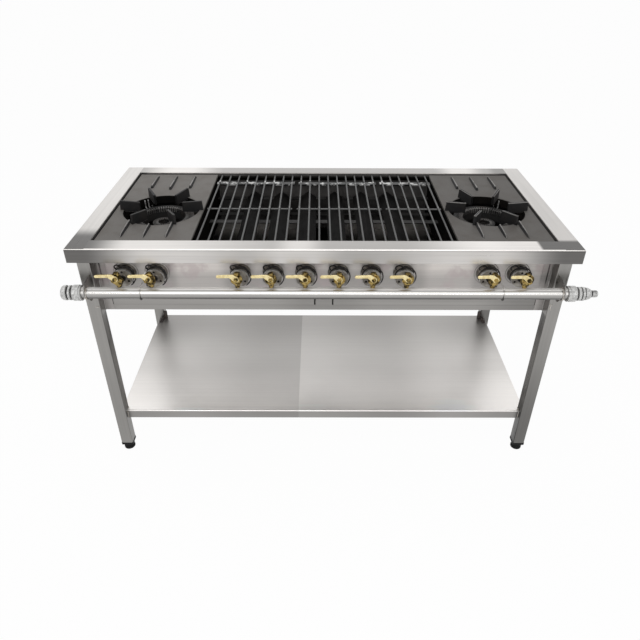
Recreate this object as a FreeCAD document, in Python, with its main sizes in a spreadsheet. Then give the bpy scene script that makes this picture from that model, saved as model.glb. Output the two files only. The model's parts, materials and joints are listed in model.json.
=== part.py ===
import FreeCAD, Part
import os

import Sketcher

# Free-standing gas range: a stainless frame on four legs with a bar grill between two ring burners.
# Frame: X to the right, Y to the back, Z up, origin on the floor under the middle of the top frame.
# All sizes in millimetres.

DRIVING_SIZES = (
    # top frame
    ("range_width", 1500, "outer width of the top frame"),
    ("range_depth", 700, "outer depth of the top frame"),
    ("range_height", 825, "floor to top of the frame"),
    ("rim_flange", 58, "width of the flat top of each rail"),
    ("rim_drop", 45, "height of the outer face of each rail"),
    ("rim_gauge", 1.5, "rail sheet thickness"),
    # legs and feet
    ("leg_side", 40, "outer side of the square leg tube"),
    ("leg_wall", 1.5, "leg tube wall"),
    ("leg_inset_x", 18, "leg outer face inside the frame side"),
    ("leg_inset_y", 20, "leg outer face inside the frame front and back"),
    ("leg_base", 30, "lower end of the leg tube above the floor"),
    ("plug_flange", 5, "visible height of the leg plug"),
    ("plug_depth", 22, "length of the plug inside the tube"),
    ("slip_gap", 0.1, "clearance of pieces pushed or screwed together"),
    ("foot_dia", 38, "levelling foot diameter"),
    ("foot_pad", 9, "height of the foot's straight edge"),
    ("foot_neck_dia", 26, "foot diameter under the plug"),
    ("stem_dia", 10, "foot screw diameter"),
    ("stem_reach", 20, "foot screw length above the foot"),
    ("turning_fit", 0.05, "radial clearance of turning and sliding fits"),
    # lower shelf
    ("shelf_top", 173, "height of the lower shelf"),
    ("shelf_gauge", 1.5, "shelf sheet thickness"),
    ("shelf_lip", 35, "height of the folded shelf edge"),
    # firebox panels
    ("panel_gauge", 1.5, "panel sheet thickness"),
    ("panel_fold", 18, "fold that meets the underside of the frame"),
    ("side_flange", 26, "width of the side panel's folded edge"),
    ("seam_gap", 0.5, "gap at sheet seams"),
    ("box_depth", 242, "frame top to the lower edge of the panels"),
    # drip trays
    ("tray_rail_height", 17, "height of the strip under the trays"),
    ("tray_rail_fold", 24, "depth of the strip's inward fold"),
    ("tray_front", 27, "height of the tray opening"),
    ("tray_gauge", 1.2, "tray sheet thickness"),
    ("tray_gap", 1.5, "gap round a tray front"),
    ("tray_seat_gap", 0.3, "clearance between tray and runners"),
    ("tray_back_gap", 13.5, "tray from the back panel"),
    ("post_width", 54, "width of the post between the trays"),
    ("runner_width", 50, "width of the outer tray runners"),
    ("runner_lip", 12, "height of the runner's standing edge"),
    ("mid_runner_width", 100, "width of the centre runner"),
    # seats of grates and plates
    ("ledge_width", 15, "width of the angle ledges"),
    ("plate_seat", 13, "plate ledge below the frame top"),
    ("grate_seat", 12, "grate ledge below the frame top"),
    ("burner_bay", 291, "clear width of a burner bay"),
    ("divider_height", 150, "height of the divider panels"),
    # burner plates
    ("plate_thick", 8, "cast plate thickness"),
    ("plate_inner_gap", 4, "plate edge from the divider"),
    ("plate_outer_gap", 6, "plate edge from the side panel"),
    ("plate_end_gap", 4, "plate edge from the front and back panels"),
    ("plate_hole_dia", 248, "burner opening in the plate"),
    ("rib_width", 6, "width of the raised ribs"),
    ("rib_rise", 7, "height of the ribs above the plate"),
    ("rib_pitch", 68, "distance between neighbouring ribs"),
    ("rib_margin", 22, "rib end from the plate edge"),
    ("rib_length", 122, "length of the raised ribs"),
    ("fin_count", 6, "pot fins round the burner"),
    ("fin_width", 8, "thickness of a pot fin"),
    ("fin_inner_radius", 69, "inner end of a fin from the burner axis"),
    ("fin_outer_radius", 133.5, "outer top corner of a fin from the burner axis"),
    ("fin_foot", 3, "spread of the fin's outer foot"),
    ("fin_rise", 31, "fin top above the plate"),
    ("fin_slope", 5, "drop of the fin's top edge towards the burner"),
    ("fin_tip", 34, "height of the fin's inner end"),
    # ring burners
    ("burner_inset", 11, "burner axis inside the middle of its bay"),
    ("burner_y", -50, "burner axis from the middle, towards the back"),
    ("outer_ring_dia", 204, "outer ring outside diameter"),
    ("outer_ring_bore", 150, "outer ring inside diameter"),
    ("outer_ring_base", 40, "outer ring underside above the mixer axis"),
    ("outer_ring_height", 36, "outer ring height"),
    ("inner_ring_dia", 72, "inner ring outside diameter"),
    ("inner_ring_bore", 36, "inner ring inside diameter"),
    ("inner_ring_base", 10, "inner ring underside above the mixer axis"),
    ("inner_ring_height", 50, "inner ring height"),
    ("port_count", 30, "gas slots in the outer ring"),
    ("inner_port_count", 18, "gas slots in the inner ring"),
    ("port_width", 4, "width of a gas slot"),
    ("port_depth", 9, "depth of a gas slot"),
    ("port_reach", 12, "radial length of a gas slot"),
    ("ring_neck_dia", 24, "neck between the outer ring and its mixer"),
    ("ring_neck_ahead", 62, "neck in front of the burner axis"),
    ("outer_mixer_offset", 63, "outer ring mixer from the burner axis"),
    ("inner_mixer_offset", 32, "inner ring mixer from the burner axis"),
    # mixers, shared by all ten burners
    ("valve_shift", 8, "row of valves and mixers left of the middle"),
    ("mixer_drop", 108, "mixer axis below the frame top"),
    ("mixer_hole_dia", 62, "panel hole round a mixer"),
    ("bell_dia", 56, "mixer bell outside diameter"),
    ("bell_length", 10, "straight part of the bell"),
    ("bell_taper", 30, "tapered part of the bell"),
    ("bell_reach", 20, "bell front ahead of the panel"),
    ("mixer_wall", 4, "casting wall"),
    ("mixer_tube_dia", 34, "mixer tube outside diameter"),
    ("mixer_hub_dia", 32, "mixer front hub diameter"),
    ("mixer_hub_length", 7, "mixer front hub length"),
    ("mixer_hub_reach", 15, "hub front ahead of the bell front"),
    ("mixer_rib", 4, "thickness of the ribs that carry the hub"),
    ("mixer_rib_span", 50, "width across opposite ribs"),
    ("mixer_rib_lap", 5, "length of the ribs inside the bell"),
    ("journal_dia", 18, "mixer nose on which the air shutter turns"),
    ("journal_length", 6, "length of the mixer nose"),
    ("nose_bore", 13, "bore of the mixer nose"),
    # grill burners
    ("grill_tube_dia", 42, "grill burner tube diameter"),
    ("grill_tube_start", 55, "grill burner tube start behind the panel"),
    ("grill_tube_flare", 15, "flare from mixer to burner tube"),
    ("grill_tube_gap", 43.5, "closed end of the grill burner from the back panel"),
    ("grill_port_count", 18, "gas slots along a grill burner"),
    ("grill_port_margin", 28.5, "first and last gas slot from the tube ends"),
    ("grill_port_length", 16, "length of a gas slot across the tube"),
    # cross bars and deflectors
    ("bar_width", 25, "width of the cross bars"),
    ("bar_thick", 3, "thickness of the cross bars"),
    ("deflector_drop", 83, "deflector seat below the frame top"),
    ("deflector_width", 60, "width of a heat deflector"),
    ("deflector_rise", 22, "ridge height of a heat deflector"),
    ("deflector_gauge", 2, "height of the deflector sheet's section"),
    ("deflector_gap", 28.5, "deflector ends from the front and back panels"),
    ("deflector_bar_gap", 39.5, "rear deflector bar from the back panel"),
    ("deflector_bar_mid", 34, "middle deflector bar behind the middle"),
    # grates
    ("grate_bar_dia", 6, "grate bar diameter"),
    ("grate_margin", 17.35, "outer grate bars from the dividers"),
    ("grate_bar_gap", 2.5, "bar end from the panels"),
    ("grate_rest_gap", 0.3, "clearance between bars and ledge"),
    ("left_bar_count", 9, "bars in the left grate"),
    ("middle_bar_count", 9, "bars in the middle grate"),
    ("right_bar_count", 6, "bars in the right grate"),
    ("cross_rod_y", -23, "cross rod from the middle, towards the back"),
    ("cross_rod_lap", 1, "weld lap between bars and cross pieces"),
    ("cross_overhang", 9, "cross pieces past the outer bars"),
    ("rear_flat_gap", 76.5, "rear flat from the back panel"),
    ("rear_flat_width", 24, "width of the rear flat"),
    ("rear_flat_thick", 5, "thickness of the rear flat"),
    # manifold
    ("pipe_dia", 35, "manifold pipe outside diameter"),
    ("pipe_wall", 3.2, "manifold pipe wall"),
    ("pipe_inset", 20, "pipe end inside the frame side"),
    ("pipe_stand", 22, "pipe axis ahead of the frame front"),
    ("pipe_drop", 132, "pipe axis below the frame top"),
    ("bracket_shift", 10, "bracket plate inside the leg middle"),
    ("bracket_thick", 3, "bracket plate thickness"),
    ("bracket_height", 76, "bracket plate height"),
    ("bracket_nose", 7, "bracket plate ahead of the pipe"),
    ("bracket_cut", 16, "corner cut of the bracket plate"),
    ("clamp_shift", 14, "clamp inside the middle of two burner valves"),
    ("clamp_rod_dia", 5, "clamp rod diameter"),
    ("clamp_nut_dia", 10, "clamp nut diameter"),
    ("clamp_nut_length", 5, "clamp nut length"),
    ("coupling_dia", 48, "coupling outside diameter"),
    ("coupling_lap", 16, "coupling length over the pipe"),
    ("coupling_length", 28, "coupling length"),
    ("plug_neck", 4, "gap between coupling and end piece"),
    ("plug_neck_dia", 34, "neck diameter of the end pieces"),
    ("plug_thread", 10, "neck length inside the coupling"),
    ("end_cap_dia", 45, "end plug diameter"),
    ("end_cap_length", 30, "end plug length"),
    ("end_cap_round", 6, "bevel of the end plug"),
    ("inlet_ring_length", 11, "length of each inlet ring"),
    ("inlet_groove", 3, "groove between the inlet rings"),
    ("inlet_taper", 15, "tapered length of the inlet"),
    ("inlet_nipple_dia", 20.7, "gas inlet nipple diameter"),
    ("inlet_nipple_length", 20, "gas inlet nipple length"),
    ("inlet_bore", 14, "gas inlet bore"),
    # valves and levers
    ("valve_dia", 21, "valve barrel diameter"),
    ("valve_cap_dia", 16, "valve cap diameter"),
    ("valve_cap_rise", 4, "valve cap above the barrel"),
    ("valve_head", 10, "barrel top above the lever axis"),
    ("valve_nipple_dia", 12, "valve thread in the pipe"),
    ("valve_nipple_length", 8, "length of the thread in the pipe"),
    ("stem_drop", 77, "lever axis below the frame top"),
    ("stem_boss_dia", 15, "boss round the valve stem"),
    ("stem_boss_reach", 14, "boss front ahead of the pipe axis"),
    ("valve_stem_dia", 8, "valve stem diameter"),
    ("lever_gap", 0.4, "end clearance of a lever on its stem"),
    ("stem_nut_dia", 12, "nut that holds the lever"),
    ("stem_nut_length", 4, "length of the nut"),
    ("outlet_dia", 11, "valve outlet diameter"),
    ("outlet_reach", 34, "valve outlet behind the pipe axis"),
    ("outlet_nut_dia", 15, "outlet nut diameter"),
    ("outlet_nut_start", 14, "outlet nut behind the pipe axis"),
    ("outlet_nut_length", 8, "outlet nut length"),
    ("spud_length", 10, "gas orifice length"),
    ("spud_tip_dia", 6, "gas orifice tip diameter"),
    ("lever_hub_dia", 18, "lever hub diameter"),
    ("lever_thick", 5, "lever thickness"),
    ("lever_reach", 56, "lever tip from its axis"),
    ("crank_run", 17, "sideways run of the lever's crank"),
    ("crank_rise", 15, "height of the paddle above the lever axis"),
    ("crank_half", 5, "half width of the crank"),
    ("paddle_height", 9, "height of the lever's paddle"),
    # air shutters
    ("shutter_dia", 59, "air shutter diameter"),
    ("shutter_gauge", 2.5, "air shutter thickness"),
    ("shutter_lip", 6, "depth of the air shutter's turned edge"),
    ("shutter_lip_wall", 1.5, "thickness of the turned edge"),
    ("shutter_hole_dia", 7, "air hole diameter"),
    ("shutter_hole_radius", 20, "air holes from the shutter axis"),
    ("shutter_hole_count", 3, "air holes in a shutter"),
    ("shutter_end_gap", 0.3, "shutter clearance to the mixer hub"),
)


class Size:
    """A length that carries both its value and the sheet expression it comes from."""

    def __init__(self, text, value):
        self.text = text
        self.value = value

    @staticmethod
    def of(thing):
        return thing if isinstance(thing, Size) else Size(repr(thing), thing)

    def __add__(self, other):
        other = Size.of(other)
        return Size(f"({self.text} + {other.text})", self.value + other.value)

    def __sub__(self, other):
        other = Size.of(other)
        return Size(f"({self.text} - {other.text})", self.value - other.value)

    def __mul__(self, other):
        other = Size.of(other)
        return Size(f"({self.text} * {other.text})", self.value * other.value)

    def __truediv__(self, other):
        other = Size.of(other)
        return Size(f"({self.text} / {other.text})", self.value / other.value)

    def __neg__(self):
        return self * -1

    def __radd__(self, other):
        return Size.of(other) + self

    def __rsub__(self, other):
        return Size.of(other) - self

    def __rmul__(self, other):
        return Size.of(other) * self


class Sizes:
    """The driving sizes, one attribute each, bound to the cells of the document's sheet."""

    def __init__(self, doc):
        sheet = doc.addObject("Spreadsheet::Sheet", "Sizes")
        for row, (name, value, note) in enumerate(DRIVING_SIZES, start=1):
            sheet.set(f"A{row}", note)
            sheet.set(f"B{row}", str(value))
            sheet.setAlias(f"B{row}", name)
        doc.recompute()
        for name, _, _ in DRIVING_SIZES:
            setattr(self, name, Size(f"Sizes.{name}", float(sheet.get(name))))


doc = FreeCAD.newDocument("gas_range")
size = Sizes(doc)
subparts = []


# Building blocks

def bind(item, prop, length):
    item.setExpression(prop, Size.of(length).text)


def place(item, x=0, y=0, z=0):
    for axis, length in zip("xyz", (x, y, z)):
        bind(item, f"Placement.Base.{axis}", length)


def new_body(label, x=0, y=0, z=0):
    body = doc.addObject("PartDesign::Body", label)
    body.Label = label
    place(body, x, y, z)
    return body


def node(item):
    subparts.append(item)
    return item


def group(label, members):
    """Separate solids that share one node."""
    compound = doc.addObject("Part::Compound", label)
    compound.Label = label
    compound.Links = members
    return node(compound)


def origin_feature(body, role):
    return next(item for item in body.Origin.OriginFeatures if item.Role == role)


def new_sketch(body, plane, offset):
    """Sketch on one of the body's own planes, moved by offset along the plane's two axes and normal."""
    sketch = body.newObject("Sketcher::SketchObject", f"{body.Name}_outline")
    sketch.AttachmentSupport = [(origin_feature(body, plane), "")]
    sketch.MapMode = "FlatFace"
    for axis, length in zip("xyz", offset):
        bind(sketch, f"AttachmentOffset.Base.{axis}", length)
    return sketch


def hold_point(sketch, geometry, point, across, up):
    """Fixes one point of the sketch at two bound distances from the sketch's origin."""
    for kind, length in (("DistanceX", across), ("DistanceY", up)):
        length = Size.of(length)
        index = sketch.addConstraint(Sketcher.Constraint(kind, -1, 1, geometry, point, length.value))
        bind(sketch, f"Constraints[{index}]", length)


def polygon(body, plane, points, offset=(0, 0, 0)):
    sketch = new_sketch(body, plane, offset)
    corners = [FreeCAD.Vector(Size.of(across).value, Size.of(up).value, 0) for across, up in points]
    count = len(corners)
    edges = [Part.LineSegment(corners[i], corners[(i + 1) % count]) for i in range(count)]
    sketch.addGeometry(edges, False)
    joins = [Sketcher.Constraint("Coincident", i, 2, (i + 1) % count, 1) for i in range(count)]
    sketch.addConstraint(joins)
    for index, (across, up) in enumerate(points):
        hold_point(sketch, index, 1, across, up)
    return sketch


def circles(body, plane, rings, offset=(0, 0, 0)):
    sketch = new_sketch(body, plane, offset)
    for across, up, diameter in rings:
        radius = Size.of(diameter) / 2
        centre = FreeCAD.Vector(Size.of(across).value, Size.of(up).value, 0)
        index = sketch.addGeometry(Part.Circle(centre, FreeCAD.Vector(0, 0, 1), radius.value), False)
        hold_point(sketch, index, 3, across, up)
        rule = sketch.addConstraint(Sketcher.Constraint("Radius", index, radius.value))
        bind(sketch, f"Constraints[{rule}]", radius)
    return sketch


def add_feature(body, kind, sketch, length, symmetric=False, reverse=False):
    feature = body.newObject(f"PartDesign::{kind}", f"{body.Name}_{kind.lower()}")
    feature.Profile = sketch
    if symmetric:
        feature.SideType = "Symmetric"
    feature.Reversed = reverse
    bind(feature, "Length", length)
    return feature


def pad(body, sketch, length, symmetric=False, reverse=False):
    return add_feature(body, "Pad", sketch, length, symmetric, reverse)


def pocket(body, sketch, length, symmetric=True, reverse=False):
    return add_feature(body, "Pocket", sketch, length, symmetric, reverse)


def slab(body, x, y, z):
    """Rectangular block or sheet between two X, two Y and two Z values."""
    outline = [(x[0], y[0]), (x[1], y[0]), (x[1], y[1]), (x[0], y[1])]
    return pad(body, polygon(body, "XY_Plane", outline, (0, 0, z[0])), z[1] - z[0])


def turned(body, plane, points, offset=(0, 0, 0), axis="H_Axis", angle=360):
    """Solid of revolution about the sketch's horizontal or vertical axis."""
    feature = body.newObject("PartDesign::Revolution", f"{body.Name}_turned")
    feature.Profile = polygon(body, plane, points, offset)
    feature.ReferenceAxis = (feature.Profile[0], [axis])
    feature.Angle = angle
    return feature


def polar(body, feature, axis, count):
    pattern = body.newObject("PartDesign::PolarPattern", f"{body.Name}_polar")
    pattern.Originals = [feature]
    pattern.Axis = (origin_feature(body, axis), [""])
    pattern.Angle = 360
    bind(pattern, "Occurrences", count)
    body.Tip = pattern
    return pattern


def linear(body, feature, axis, length, count):
    pattern = body.newObject("PartDesign::LinearPattern", f"{body.Name}_row")
    pattern.Originals = [feature]
    pattern.Direction = (origin_feature(body, axis), [""])
    bind(pattern, "Length", length)
    bind(pattern, "Occurrences", count)
    body.Tip = pattern
    return pattern


# Places that several pieces share

half_width = size.range_width / 2
half_depth = size.range_depth / 2
top = size.range_height
under_rim = top - size.rim_gauge
leg_x_outer = half_width - size.leg_inset_x
leg_x_inner = leg_x_outer - size.leg_side
leg_x_mid = leg_x_outer - size.leg_side / 2
leg_y_outer = half_depth - size.leg_inset_y
leg_y_inner = leg_y_outer - size.leg_side
leg_y_mid = leg_y_outer - size.leg_side / 2
wall_x = leg_x_inner - size.panel_gauge
wall_y = leg_y_inner - size.panel_gauge
panel_half = leg_x_inner - size.side_flange - size.seam_gap
box_bottom = top - size.box_depth
tray_rail_top = box_bottom + size.tray_rail_height
tray_opening_top = tray_rail_top + size.tray_front
plate_seat_z = top - size.plate_seat
plate_top = plate_seat_z + size.plate_thick
grate_seat_z = top - size.grate_seat
divider_outer = wall_x - size.burner_bay
divider_x = divider_outer - size.panel_gauge
burner_x = wall_x - size.burner_bay / 2 - size.burner_inset
mixer_z = top - size.mixer_drop
stem_z = top - size.stem_drop
pipe_y = -(half_depth + size.pipe_stand)
pipe_z = top - size.pipe_drop
pipe_radius = size.pipe_dia / 2
bell_front = -(leg_y_inner + size.bell_reach)
hub_front = bell_front - size.mixer_hub_reach
shutter_front = hub_front - size.shutter_end_gap - size.shutter_gauge
outer_valve_x = burner_x + size.outer_mixer_offset
inner_valve_x = burner_x - size.inner_mixer_offset
GRILL_STEPS = (-2.5, -1.5, -0.5, 0.5, 1.5, 2.5)
grill_pitch = 2 * divider_x / (len(GRILL_STEPS) + 2)
grill_positions = [step * grill_pitch - size.valve_shift for step in GRILL_STEPS]
grill_tube_end = wall_y - size.grill_tube_gap
pipe_half = half_width - size.pipe_inset
left_positions = [-outer_valve_x - size.valve_shift, -inner_valve_x - size.valve_shift]
right_positions = [inner_valve_x - size.valve_shift, outer_valve_x - size.valve_shift]
mixer_positions = left_positions + grill_positions + right_positions
SIDES = (("left", -1), ("right", 1))
ENDS = (("front", -1), ("back", 1))


# Top frame

def rails():
    inner_x = half_width - size.rim_flange
    drop_x = half_width - size.rim_gauge
    drop_z = (top - size.rim_drop, under_rim)
    for name, sign in ENDS:
        rail = node(new_body(f"{name}_rail"))
        slab(rail, (-inner_x, inner_x), (sign * half_depth, sign * (half_depth - size.rim_flange)),
             (under_rim, top))
        slab(rail, (-drop_x, drop_x), (sign * half_depth, sign * (half_depth - size.rim_gauge)), drop_z)
    for name, sign in SIDES:
        rail = node(new_body(f"{name}_rail"))
        slab(rail, (sign * half_width, sign * inner_x), (-half_depth, half_depth), (under_rim, top))
        slab(rail, (sign * half_width, sign * drop_x), (-half_depth, half_depth), drop_z)


# Legs, plugs and levelling feet

def square(body, side, z):
    half = side / 2
    return polygon(body, "XY_Plane", [(-half, -half), (half, -half), (half, half), (-half, half)], (0, 0, z))


def legs():
    bore_side = size.leg_side - 2 * size.leg_wall
    foot_top = size.leg_base - size.plug_flange
    foot_radius = size.foot_dia / 2
    stem_radius = size.stem_dia / 2
    plugs = []
    for end, sign_y in ENDS:
        for side, sign_x in SIDES:
            x = sign_x * leg_x_mid
            y = sign_y * leg_y_mid
            leg = node(new_body(f"{end}_{side}_leg", x, y, size.leg_base))
            pad(leg, square(leg, size.leg_side, 0), under_rim - size.leg_base)
            pocket(leg, square(leg, bore_side, 0), under_rim - size.leg_base, False, True)

            plug = new_body(f"{end}_{side}_plug", x, y, foot_top)
            pad(plug, square(plug, size.leg_side, 0), size.plug_flange)
            insert = square(plug, bore_side - 2 * size.slip_gap, size.plug_flange)
            pad(plug, insert, size.plug_depth)
            bore = circles(plug, "XY_Plane", [(0, 0, size.stem_dia + 2 * size.turning_fit)])
            pocket(plug, bore, size.plug_flange + size.plug_depth, False, True)
            plugs.append(plug)

            foot = node(new_body(f"{end}_{side}_foot", x, y, 0))
            stem_top = foot_top + size.stem_reach
            turned(foot, "XZ_Plane", [
                (0, 0), (foot_radius, 0), (foot_radius, size.foot_pad), (size.foot_neck_dia / 2, foot_top),
                (stem_radius, foot_top), (stem_radius, stem_top), (0, stem_top),
            ], axis="V_Axis")
    group("leg_plugs", plugs)


def lower_shelf():
    shelf = node(new_body("lower_shelf"))
    x, y = leg_x_mid, leg_y_mid
    notch_x, notch_y = leg_x_inner, leg_y_inner
    outline = []
    for sign_x, sign_y, first in ((1, -1, "y"), (1, 1, "x"), (-1, 1, "y"), (-1, -1, "x")):
        corner = [
            (sign_x * notch_x, sign_y * y),
            (sign_x * notch_x, sign_y * notch_y),
            (sign_x * x, sign_y * notch_y),
        ]
        outline += corner if first == "y" else corner[::-1]
    sheet = polygon(shelf, "XY_Plane", outline, (0, 0, size.shelf_top - size.shelf_gauge))
    pad(shelf, sheet, size.shelf_gauge)
    lip_z = (size.shelf_top - size.shelf_lip, size.shelf_top - size.shelf_gauge)
    for sign in (-1, 1):
        slab(shelf, (-notch_x, notch_x), (sign * y, sign * (y - size.shelf_gauge)), lip_z)
        slab(shelf, (sign * x, sign * (x - size.shelf_gauge)), (-notch_y, notch_y), lip_z)


# Firebox panels

def side_panels():
    for name, sign in SIDES:
        panel = node(new_body(f"{name}_side_panel"))
        height = (box_bottom, under_rim)
        slab(panel, (sign * wall_x, sign * leg_x_inner), (-leg_y_inner, leg_y_inner), height)
        for end in (-1, 1):
            slab(panel, (sign * (leg_x_inner - size.side_flange), sign * wall_x),
                 (end * leg_y_inner, end * wall_y), height)
        slab(panel, (sign * leg_x_inner, sign * (leg_x_inner + size.panel_fold)),
             (-leg_y_inner, leg_y_inner), (under_rim - size.panel_gauge, under_rim))


def end_panel(label, sign, bottom):
    panel = node(new_body(label))
    slab(panel, (-panel_half, panel_half), (sign * leg_y_inner, sign * wall_y), (bottom, under_rim))
    slab(panel, (-panel_half, panel_half), (sign * (leg_y_inner + size.panel_fold), sign * leg_y_inner),
         (under_rim - size.panel_gauge, under_rim))
    return panel


def end_panels():
    end_panel("back_panel", 1, box_bottom)
    control_panel = end_panel("control_panel", -1, tray_opening_top)
    holes = circles(control_panel, "XZ_Plane", [(x, mixer_z, size.mixer_hole_dia) for x in mixer_positions],
                    (0, 0, leg_y_inner))
    pocket(control_panel, holes, 4 * size.panel_gauge)


# Drip trays and what carries them

def tray_rail():
    rail = node(new_body("tray_rail"))
    face_y = (-leg_y_inner, -wall_y)
    slab(rail, (-panel_half, panel_half), face_y, (box_bottom, tray_rail_top))
    slab(rail, (-panel_half, panel_half), (-wall_y, -(wall_y - size.tray_rail_fold)),
         (tray_rail_top - size.panel_gauge, tray_rail_top))
    slab(rail, (-size.post_width / 2, size.post_width / 2), face_y, (tray_rail_top, tray_opening_top))


def tray_runners():
    runners = []
    length = (-(wall_y - size.tray_rail_fold), wall_y)
    seat = (tray_rail_top - size.panel_gauge, tray_rail_top)
    lip = (tray_rail_top, tray_rail_top + size.runner_lip)
    for name, sign in SIDES:
        runner = new_body(f"{name}_runner")
        slab(runner, (sign * (wall_x - size.runner_width), sign * wall_x), length, seat)
        slab(runner, (sign * (wall_x - size.panel_gauge), sign * wall_x), length, lip)
        runners.append(runner)
    middle = new_body("middle_runner")
    slab(middle, (-size.mid_runner_width / 2, size.mid_runner_width / 2), length, seat)
    slab(middle, (-size.panel_gauge / 2, size.panel_gauge / 2), length, lip)
    group("tray_runners", runners + [middle])


def drip_trays():
    near = size.post_width / 2 + size.tray_gap
    far = panel_half - size.tray_gap
    front = -leg_y_inner
    back = wall_y - size.tray_back_gap
    floor = tray_rail_top + size.tray_seat_gap
    rim = tray_opening_top - size.tray_gap
    gauge = size.tray_gauge
    for name, sign in SIDES:
        tray = node(new_body(f"{name}_drip_tray"))
        walls = (floor + gauge, rim)
        slab(tray, (sign * near, sign * far), (front, back), (floor, floor + gauge))
        slab(tray, (sign * near, sign * far), (front, front + gauge), walls)
        slab(tray, (sign * near, sign * far), (back - gauge, back), walls)
        slab(tray, (sign * near, sign * (near + gauge)), (front, back), walls)
        slab(tray, (sign * (far - gauge), sign * far), (front, back), walls)


# Dividers, ledges and cross bars

def divider_panels():
    dividers = []
    for name, sign in SIDES:
        divider = new_body(f"{name}_divider")
        slab(divider, (sign * divider_x, sign * divider_outer), (-wall_y, wall_y),
             (plate_seat_z - size.divider_height, plate_seat_z))
        slab(divider, (sign * divider_outer, sign * (divider_outer + size.ledge_width)), (-wall_y, wall_y),
             (plate_seat_z - size.panel_gauge, plate_seat_z))
        dividers.append(divider)
    group("divider_panels", dividers)


def ledge(label, x, end, seat):
    angle = new_body(label)
    slab(angle, x, (end * wall_y, end * (wall_y - size.ledge_width)), (seat - size.panel_gauge, seat))
    slab(angle, x, (end * wall_y, end * (wall_y - size.panel_gauge)),
         (seat - size.ledge_width, seat - size.panel_gauge))
    return angle


def support_ledges():
    ledges = []
    for end, sign_y in ENDS:
        ledges.append(ledge(f"{end}_grate_ledge", (-divider_x, divider_x), sign_y, grate_seat_z))
        for side, sign_x in SIDES:
            span = (sign_x * (divider_outer + size.ledge_width), sign_x * wall_x)
            ledges.append(ledge(f"{end}_{side}_plate_ledge", span, sign_y, plate_seat_z))
    group("support_ledges", ledges)


def cross_bars():
    bars = []
    grill_span = (-divider_x, divider_x)
    half = size.bar_width / 2
    deflector_seat = top - size.deflector_drop
    bar_step = wall_y - size.deflector_bar_gap - size.deflector_bar_mid
    for step in (-1, 0, 1):
        middle = size.deflector_bar_mid + step * bar_step
        bar = new_body(f"deflector_bar_{step + 2}")
        slab(bar, grill_span, (middle - half, middle + half),
             (deflector_seat - size.bar_thick, deflector_seat))
        bars.append(bar)
    burner_rest = mixer_z - size.grill_tube_dia / 2 - size.slip_gap
    rest_back = grill_tube_end - size.bar_width
    bar = new_body("grill_burner_bar")
    slab(bar, grill_span, (rest_back - size.bar_width, rest_back),
         (burner_rest - size.bar_thick, burner_rest))
    bars.append(bar)
    ring_rest = mixer_z - size.mixer_tube_dia / 2 - size.slip_gap
    for name, sign in SIDES:
        bar = new_body(f"{name}_ring_bar")
        slab(bar, (sign * divider_outer, sign * wall_x), (size.burner_y - half, size.burner_y + half),
             (ring_rest - size.bar_thick, ring_rest))
        bars.append(bar)
    group("cross_bars", bars)


def heat_deflectors():
    half = size.deflector_width / 2
    rise = size.deflector_rise
    gauge = size.deflector_gauge
    inner_half = half * (rise - gauge) / rise
    sheets = []
    for index, x in enumerate(grill_positions, start=1):
        sheet = new_body(f"deflector_{index}", x, 0, top - size.deflector_drop)
        profile = [(-half, 0), (0, rise), (half, 0), (inner_half, 0), (0, rise - gauge), (-inner_half, 0)]
        pad(sheet, polygon(sheet, "XZ_Plane", profile), 2 * (wall_y - size.deflector_gap), True)
        sheets.append(sheet)
    group("heat_deflectors", sheets)


# Burners

def mixer_nose(body, x, y):
    """Front of a mixer on the body's X and Y: hub, ribs and nose ahead of an already turned bell."""
    front = hub_front - y
    rib_y = (front + size.mixer_hub_length / 2, bell_front - y + size.mixer_rib_lap)
    half = size.mixer_rib / 2
    span = size.mixer_rib_span / 2
    slab(body, (x - span, x + span), rib_y, (-half, half))
    slab(body, (x - half, x + half), rib_y, (-span, span))
    journal_front = front - size.journal_length
    hub_radius = size.mixer_hub_dia / 2
    journal_radius = size.journal_dia / 2
    turned(body, "YZ_Plane", [
        (journal_front, 0), (journal_front, journal_radius), (front, journal_radius), (front, hub_radius),
        (front + size.mixer_hub_length, hub_radius), (front + size.mixer_hub_length, 0),
    ], (0, 0, x))
    bore = circles(body, "XZ_Plane", [(x, 0, size.nose_bore)], (0, 0, -journal_front))
    bore_length = size.journal_length + size.mixer_hub_reach + size.mixer_rib_lap
    pocket(body, bore, bore_length * 2)


def mixer_outline(y):
    """Outer and inner corners of the bell and mixer throat, from the front, as distance and radius."""
    start = bell_front - y
    bell = size.bell_dia / 2
    tube = size.mixer_tube_dia / 2
    wall = size.mixer_wall
    taper = start + size.bell_length
    throat = taper + size.bell_taper
    outer = [(start, bell), (taper, bell), (throat, tube)]
    inner = [(throat, tube - wall), (taper, bell - wall), (start, bell - wall)]
    return outer, inner


def grill_burners():
    tube = size.grill_tube_dia / 2
    throat = size.mixer_tube_dia / 2
    wall = size.mixer_wall
    flare_start = -leg_y_inner + size.grill_tube_start
    flare_end = flare_start + size.grill_tube_flare
    end = grill_tube_end
    outer, inner = mixer_outline(0)
    profile = outer + [
        (flare_start, throat), (flare_end, tube), (end, tube), (end, 0), (end - wall, 0),
        (end - wall, tube - wall), (flare_end, tube - wall), (flare_start, throat - wall),
    ] + inner
    first = flare_end + size.grill_port_margin
    port_span = end - flare_end - 2 * size.grill_port_margin
    burners = []
    for index, x in enumerate(grill_positions, start=1):
        burner = new_body(f"grill_burner_{index}", x, 0, mixer_z)
        turned(burner, "YZ_Plane", profile)
        mixer_nose(burner, Size.of(0), Size.of(0))
        half_length = size.grill_port_length / 2
        port = polygon(burner, "XY_Plane", [
            (-half_length, first), (half_length, first),
            (half_length, first + size.port_width), (-half_length, first + size.port_width),
        ], (0, 0, tube))
        slot = pocket(burner, port, 2 * (wall + size.port_width))
        linear(burner, slot, "Y_Axis", port_span, size.grill_port_count)
        burners.append(burner)
    group("grill_burners", burners)


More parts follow.
